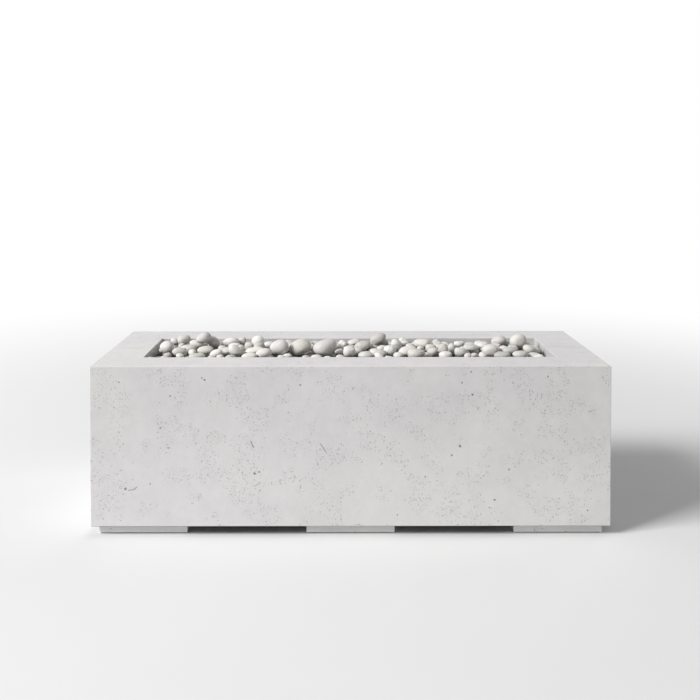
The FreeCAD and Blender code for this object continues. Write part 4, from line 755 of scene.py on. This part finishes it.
def worn_forms(source, settings, directions, count):
    """Points of water-worn stones in unit space, stone by stone.

    A direction d is carried to the rounded box |x|^p + |y|^p + |z|^p = 1, tapered along z by 1 + k z and
    bent by x + b (z^2 - 0.35). Lumps multiply it by 1 + h sin(w . d + phase), each with a shorter wave and
    a lower height h than the one before. Past a flat face, at distance f from the middle along a normal n,
    a point p moves back by half of p . n - f. The stone is then scaled to a mean distance of 1 with no
    point too far.
    """
    power = source.uniform(LEAST_POWER, settings.squareness, (count, 1))
    reach = (np.abs(directions)[None] ** power[..., None]).sum(axis=2) ** (-1.0 / power)
    unit = directions[None] * reach[..., None]
    along = unit[..., 2]
    taper = source.uniform(-settings.taper, settings.taper, (count, 1))
    second_taper = source.uniform(0.3, 1.0, (count, 1))
    bend = source.uniform(-MOST_BEND, MOST_BEND, (count, 1))
    unit[..., 0] *= 1.0 + taper * along
    unit[..., 1] *= 1.0 + taper * along * second_taper
    unit[..., 0] += bend * (along ** 2 - 0.35)
    for wave in range(LUMP_WAVES):
        way = source.normal(size=(count, 1, 3)) * (1.4 + 0.9 * wave)
        phase = source.uniform(0, 2 * math.pi, (count, 1))
        lump = np.sin((directions[None] * way).sum(axis=2) + phase)
        unit *= (1.0 + settings.lumps / (1 + 0.6 * wave) * lump)[..., None]
    for _ in range(FLAT_FACES):
        normal = source.normal(size=(count, 1, 3))
        normal /= np.linalg.norm(normal, axis=2, keepdims=True)
        height = (unit * normal).sum(axis=2)
        beyond = np.maximum(height - source.uniform(0.80, 1.0, (count, 1)), 0.0)
        unit -= normal * (WORN_SHARE * beyond)[..., None]
    distance = np.linalg.norm(unit, axis=2)
    return unit * np.minimum(1.0 / distance.mean(axis=1), FARTHEST / distance.max(axis=1))[:, None, None]


def stone_tones(source, settings, count, dust_and_shade):
    """A colour for each stone: between the pale and the grey one, about one in six leaning to green, times
    a factor of dust and painted shade.
    """
    share = source.beta(2.0, 2.6, (count, 1))
    tone = np.array(settings.pale_colour) * (1.0 - share) + np.array(settings.grey_colour) * share
    leaning = (source.uniform(size=(count, 1)) < 0.16) * source.uniform(0.2, 0.7, (count, 1))
    tone = tone * (1.0 - leaning) + np.array(settings.green_colour) * leaning
    # The factor darkens a whole layer of stones: dust, and painted shade from the stones above
    return tone * dust_and_shade * (1.0 + source.uniform(-0.02, 0.02, (count, 3)))


def pebble_mesh(name, node, settings, around, up, offset, dust_and_shade=1.0):
    """One mesh of water-worn stones, each in the place of an ellipsoid of the CAD.

    The half sizes, axes and centre of the ellipsoid carry the worn form from unit space to its place, and
    a stone that would stand higher than the highest ellipsoid sinks to that level.
    """
    centre, axes, half = loose_solids(node)
    count = len(centre)
    source = np.random.default_rng(settings.seed + offset)
    directions, quads, triangles = pebble_grid(around, up)
    unit = worn_forms(source, settings, directions[:, ::-1], count)
    axes = axes * np.sign(np.linalg.det(axes))[:, None, None]
    points = centre[:, None, :] + np.einsum("npk,njk->npj", unit * half[:, None, :], axes)
    points[..., 2] -= np.maximum(points[..., 2].max(axis=1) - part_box(node.name)[1].z, 0.0)[:, None]

    step = len(directions)
    shift = (np.arange(count) * step)[:, None, None]
    all_quads = (quads[None] + shift).reshape(-1, 4)
    all_triangles = (triangles[None] + shift).reshape(-1, 3)
    mesh = solid_mesh(name, points.reshape(-1, 3), [all_quads[:, ::-1], all_triangles[:, ::-1]])
    paint(mesh, "stone_tone", np.repeat(stone_tones(source, settings, count, dust_and_shade), step, axis=0))
    place = mesh.attributes.new("stone_shift", "FLOAT_VECTOR", "POINT")
    place.data.foreach_set("vector", np.repeat(source.uniform(0, 40, (count, 3)), step, axis=0).ravel())
    return mesh


def paint(mesh, name, colours):
    """A colour attribute on the points."""
    layer = mesh.color_attributes.new(name=name, type="FLOAT_COLOR", domain="POINT")
    full = np.ones((len(colours), 4), np.float32)
    full[:, :3] = colours
    layer.data.foreach_set("color", full.ravel())


def solid_mesh(name, points, face_groups):
    """A smooth mesh from an array of points and arrays of faces, one array for each number of corners."""
    mesh = bpy.data.meshes.new(name)
    corners = np.concatenate([group.ravel() for group in face_groups])
    sizes = np.concatenate([np.full(len(group), group.shape[1]) for group in face_groups])
    starts = np.concatenate(([0], np.cumsum(sizes)[:-1]))
    mesh.vertices.add(len(points))
    mesh.vertices.foreach_set("co", np.ascontiguousarray(points, np.float32).ravel())
    mesh.loops.add(len(corners))
    mesh.loops.foreach_set("vertex_index", corners.astype(np.int32))
    mesh.polygons.add(len(sizes))
    mesh.polygons.foreach_set("loop_start", starts.astype(np.int32))
    mesh.polygons.foreach_set("use_smooth", np.ones(len(sizes), bool))
    mesh.update(calc_edges=True)
    mesh.validate()
    return mesh


def add_piece(name, mesh, body, replaced, material):
    """Show a mesh as a piece that rides on a body and stands for CAD nodes."""
    piece = bpy.data.objects.new(name, mesh)
    bpy.context.scene.collection.objects.link(piece)
    mesh.materials.append(material)
    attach(piece, body)
    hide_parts(*replaced)


class FIRETABLE_OT_stage(bpy.types.Operator):
    """Set up the camera, the plain floor and the soft lights"""

    bl_idname = "fire_table.stage"
    bl_label = "Stage"

    def execute(self, context):
        settings = context.scene.fire_table_stage
        scene = context.scene
        scene.view_settings.view_transform = "Standard"
        data = bpy.data.cameras.new("camera")
        data.sensor_fit = "HORIZONTAL"
        data.sensor_width = 36.0
        data.lens = settings.lens
        data.shift_x, data.shift_y = settings.camera_shift
        data.clip_end = 200.0
        camera = bpy.data.objects.new("camera", data)
        scene.collection.objects.link(camera)
        turn = Euler((math.pi / 2 - settings.camera_pitch, 0.0, 0.0)).to_matrix()
        turn = turn @ Matrix.Rotation(settings.camera_roll, 3, "Z")
        camera.matrix_world = Matrix.Translation(settings.camera_place) @ turn.to_4x4()
        scene.camera = camera
        self.floor(scene, settings)
        self.light(scene, "key_light", settings.key_place, settings.key_size, settings.key_power)
        self.light(scene, "fill_light", settings.fill_place, settings.fill_size, settings.fill_power)
        self.sky(scene, settings)
        return {"FINISHED"}

    def floor(self, scene, settings):
        """A level floor, which goes over to white far from the table for the camera and for gloss."""
        span = 60.0
        white_from = 0.9
        white_to = 4.5
        points = np.array([(-span, -span, 0.0), (span, -span, 0.0), (span, span, 0.0), (-span, span, 0.0)])
        mesh = solid_mesh("floor", points, [np.array([[0, 1, 2, 3]])])
        piece = bpy.data.objects.new("floor", mesh)
        scene.collection.objects.link(piece)
        recipe = Recipe("plain_floor")
        grain = recipe.noise(0.6, detail=3.0)
        tone = recipe.level(grain, 0.3, 0.7, 0.995, 1.005)
        recipe.set(
            Base_Color=recipe.toned(tuple(settings.floor_colour), tone),
            Roughness=0.85, Specular_IOR_Level=0.2,
        )
        ray = recipe.add("ShaderNodeLightPath").outputs
        seen = recipe.chain("MAXIMUM", *(ray[name] for name in SEEN_BY_CAMERA))
        x, y, _ = recipe.parts(recipe.place)
        away = recipe.length(x, y)
        share = recipe.chain("MULTIPLY", seen, recipe.level(away, white_from, white_to))
        white = recipe.add("ShaderNodeEmission")
        white.inputs["Color"].default_value = (1.0, 1.0, 1.0, 1.0)
        both = recipe.add("ShaderNodeMixShader")
        recipe.feed(both.inputs[0], share)
        recipe.tree.links.new(recipe.shader.outputs["BSDF"], both.inputs[1])
        recipe.tree.links.new(white.outputs["Emission"], both.inputs[2])
        output = [node for node in recipe.tree.nodes if node.type == "OUTPUT_MATERIAL"][0]
        recipe.tree.links.new(both.outputs["Shader"], output.inputs["Surface"])
        mesh.materials.append(recipe.material)

    def light(self, scene, name, place, size, power):
        """A soft square of light that looks at the middle of the table."""
        data = bpy.data.lights.new(name, "AREA")
        data.shape = "SQUARE"
        data.size = size
        data.energy = power
        lamp = bpy.data.objects.new(name, data)
        scene.collection.objects.link(lamp)
        lamp.visible_camera = False
        middle = Vector((0.0, 0.0, 0.35))
        turn = (middle - Vector(place)).to_track_quat("-Z", "Y").to_matrix().to_4x4()
        lamp.matrix_world = Matrix.Translation(place) @ turn

    def sky(self, scene, settings):
        """Even light from all round, seen as plain white by the camera and by gloss."""
        world = bpy.data.worlds.new("studio")
        world.use_nodes = True
        tree = world.node_tree
        tree.nodes.clear()
        ray = tree.nodes.new("ShaderNodeLightPath").outputs
        seen = ray[SEEN_BY_CAMERA[0]]
        for name in SEEN_BY_CAMERA[1:]:
            either = tree.nodes.new("ShaderNodeMath")
            either.operation = "MAXIMUM"
            tree.links.new(seen, either.inputs[0])
            tree.links.new(ray[name], either.inputs[1])
            seen = either.outputs[0]
        both = tree.nodes.new("ShaderNodeMixShader")
        tree.links.new(seen, both.inputs[0])
        for slot, strength in ((1, settings.sky_strength), (2, 1.0)):
            white = tree.nodes.new("ShaderNodeBackground")
            white.inputs["Strength"].default_value = strength
            white.inputs["Color"].default_value = (1.0, 1.0, 1.0, 1.0)
            tree.links.new(white.outputs[0], both.inputs[slot])
        output = tree.nodes.new("ShaderNodeOutputWorld")
        tree.links.new(both.outputs[0], output.inputs["Surface"])
        scene.world = world


class FIRETABLE_OT_concrete(bpy.types.Operator):
    """Finish the two cast halves and the six feet as pale concrete"""

    bl_idname = "fire_table.concrete"
    bl_label = "Cast Concrete"

    def execute(self, context):
        settings = context.scene.fire_table_concrete
        finish_nodes(SHELL, cast_concrete("cast_concrete_shell", settings, with_marks=True))
        # Painted light: the feet get a copy of the concrete 1.22 times as bright, to lift the shade under
        # the overhang
        feet = cast_concrete("cast_concrete_feet_painted_lighter", settings, with_marks=False, painted_light_factor=1.22)
        finish_nodes(FEET, feet)
        finish_nodes(("end_joint_seals",), joint_sealant())
        return {"FINISHED"}


class FIRETABLE_OT_pebbles(bpy.types.Operator):
    """Shape the river pebbles and give each its own tone"""

    bl_idname = "fire_table.pebbles"
    bl_label = "River Pebbles"

    def execute(self, context):
        settings = context.scene.fire_table_pebbles
        material = river_stone(settings)
        upper = pebble_mesh(
            "pebbles_on_top", nodes["river_pebbles_upper"], settings, around=24, up=14, offset=0,
        )
        add_piece("pebbles_on_top", upper, "root", ("river_pebbles_upper",), material)
        lower = pebble_mesh(
            # The stones below are painted at about half their tone: dust, and painted shade under the top
            # stones
            "pebbles_below", nodes["river_pebbles_lower"], settings, around=12, up=8, offset=1, dust_and_shade=0.48,
        )
        add_piece("pebbles_below", lower, "root", ("river_pebbles_lower",), material)
        return {"FINISHED"}


class FIRETABLE_OT_rock(bpy.types.Operator):
    """Finish the lava rock under the pebbles"""

    bl_idname = "fire_table.rock"
    bl_label = "Lava Rock"

    def execute(self, context):
        finish_nodes(("lava_rock_fill",), lava_rock())
        return {"FINISHED"}


class FIRETABLE_OT_steelwork(bpy.types.Operator):
    """Finish the galvanised and zinc-plated steel inside the shell"""

    bl_idname = "fire_table.steelwork"
    bl_label = "Steelwork"

    def execute(self, context):
        settings = context.scene.fire_table_fittings
        finish_nodes(GALVANISED, galvanised_steel(settings))
        finish_nodes(ZINC, satin_metal("zinc_plate", settings.zinc_colour, roughness=0.36))
        return {"FINISHED"}


class FIRETABLE_OT_stainless(bpy.types.Operator):
    """Finish the pan, the recess, the door and the burner in stainless steel"""

    bl_idname = "fire_table.stainless"
    bl_label = "Stainless Steel"

    def execute(self, context):
        settings = context.scene.fire_table_fittings
        sheet = brushed_steel(
            "brushed_stainless", settings.stainless_colour,
            grain_scale=(40.0, 900.0, 900.0), roughness=0.32,
        )
        finish_nodes(STAINLESS_SHEET, sheet)
        finish_nodes(STAINLESS_BURNER, heated_steel(settings))
        hose = brushed_steel(
            "braided_connector", settings.stainless_colour,
            grain_scale=(700.0, 700.0, 700.0), roughness=0.38,
        )
        finish_nodes(("flex_connector",), hose)
        return {"FINISHED"}


class FIRETABLE_OT_gas_fittings(bpy.types.Operator):
    """Finish the brass and cast fittings of the gas train"""

    bl_idname = "fire_table.gas_fittings"
    bl_label = "Gas Fittings"

    def execute(self, context):
        settings = context.scene.fire_table_fittings
        finish_nodes(BRASS, satin_metal("machined_brass", settings.brass_colour, roughness=0.30))
        cast = satin_metal(
            "cast_aluminium", settings.aluminium_colour, roughness=0.48, blotch=0.02, grain=0.0012,
        )
        finish_nodes(CAST_ALUMINIUM, cast)
        coat = moulded("lever_paint", settings.lever_colour, roughness=0.40, texture=0.004, depth=0.00005)
        finish_nodes(("shutoff_lever",), coat)
        return {"FINISHED"}


class FIRETABLE_OT_controls(bpy.types.Operator):
    """Finish the knob, the igniter, its lead and the pilot parts"""

    bl_idname = "fire_table.controls"
    bl_label = "Controls and Pilot"

    def execute(self, context):
        settings = context.scene.fire_table_fittings
        porcelain = (0.78, 0.76, 0.71)
        copper = (0.55, 0.28, 0.17)
        black_sleeve = (0.02, 0.02, 0.022)
        finish_nodes(("control_knob",), moulded("knob_plastic", settings.knob_colour, roughness=0.46))
        finish_nodes(BLACK_MOULDED, moulded("black_moulding", settings.knob_colour, roughness=0.52))
        button = moulded(
            "button_plastic", settings.button_colour, roughness=0.30, texture=0.003, depth=0.00003,
        )
        finish_nodes(("igniter_button",), button)
        glaze = moulded("electrode_glaze", porcelain, roughness=0.28, texture=0.004, depth=0.00003)
        finish_nodes(("igniter_electrode",), glaze)
        finish_nodes(("thermocouple",), satin_metal("probe_copper", copper, roughness=0.38))
        finish_nodes(("ignition_lead",), moulded("lead_sleeve", black_sleeve, roughness=0.55))
        return {"FINISHED"}


class FIRETABLE_OT_pads(bpy.types.Operator):
    """Finish the rubber pads under the feet"""

    bl_idname = "fire_table.pads"
    bl_label = "Foot Pads"

    def execute(self, context):
        rubber = moulded("pad_rubber", (0.02, 0.02, 0.02), roughness=0.80, texture=0.0016, depth=0.0002)
        finish_nodes(("foot_pads",), rubber)
        return {"FINISHED"}


class FIRETABLE_PT_sidebar(bpy.types.Panel):
    """Settings and steps of the fire table"""

    bl_idname = "FIRETABLE_PT_sidebar"
    bl_label = "Fire Table"
    bl_space_type = "VIEW_3D"
    bl_region_type = "UI"
    bl_category = "Fire Table"

    def draw(self, context):
        for title, settings, steps in GROUPS:
            box = self.layout.box()
            box.label(text=title)
            group = getattr(context.scene, settings)
            for key in group.__annotations__:
                box.prop(group, key)
            for step in steps:
                box.operator(step)


GROUPS = (
    ("Stage", "fire_table_stage", ("fire_table.stage",)),
    ("Concrete", "fire_table_concrete", ("fire_table.concrete", "fire_table.pads")),
    ("Pebbles", "fire_table_pebbles", ("fire_table.pebbles", "fire_table.rock")),
    ("Fittings", "fire_table_fittings", (
        "fire_table.steelwork", "fire_table.stainless", "fire_table.gas_fittings", "fire_table.controls",
    )),
)
SETTINGS = {
    "fire_table_stage": StageSettings,
    "fire_table_concrete": ConcreteSettings,
    "fire_table_pebbles": PebbleSettings,
    "fire_table_fittings": FittingSettings,
}
CLASSES = (
    StageSettings, ConcreteSettings, PebbleSettings, FittingSettings,
    FIRETABLE_OT_stage, FIRETABLE_OT_concrete, FIRETABLE_OT_pads, FIRETABLE_OT_pebbles, FIRETABLE_OT_rock,
    FIRETABLE_OT_steelwork, FIRETABLE_OT_stainless, FIRETABLE_OT_gas_fittings, FIRETABLE_OT_controls,
    FIRETABLE_PT_sidebar,
)


def register():
    """Make the settings, the steps and the sidebar known to Blender."""
    for item in CLASSES:
        bpy.utils.register_class(item)
    for name, group in SETTINGS.items():
        setattr(bpy.types.Scene, name, bpy.props.PointerProperty(type=group))


def unregister():
    """Take them out again, in the opposite order."""
    for name in SETTINGS:
        delattr(bpy.types.Scene, name)
    for item in reversed(CLASSES):
        bpy.utils.unregister_class(item)


def main():
    """Make the stage and every finish in order."""
    register()
    for _, _, steps in GROUPS:
        for step in steps:
            group, name = step.split(".")
            getattr(getattr(bpy.ops, group), name)()


if __name__ == "__main__":
    main()
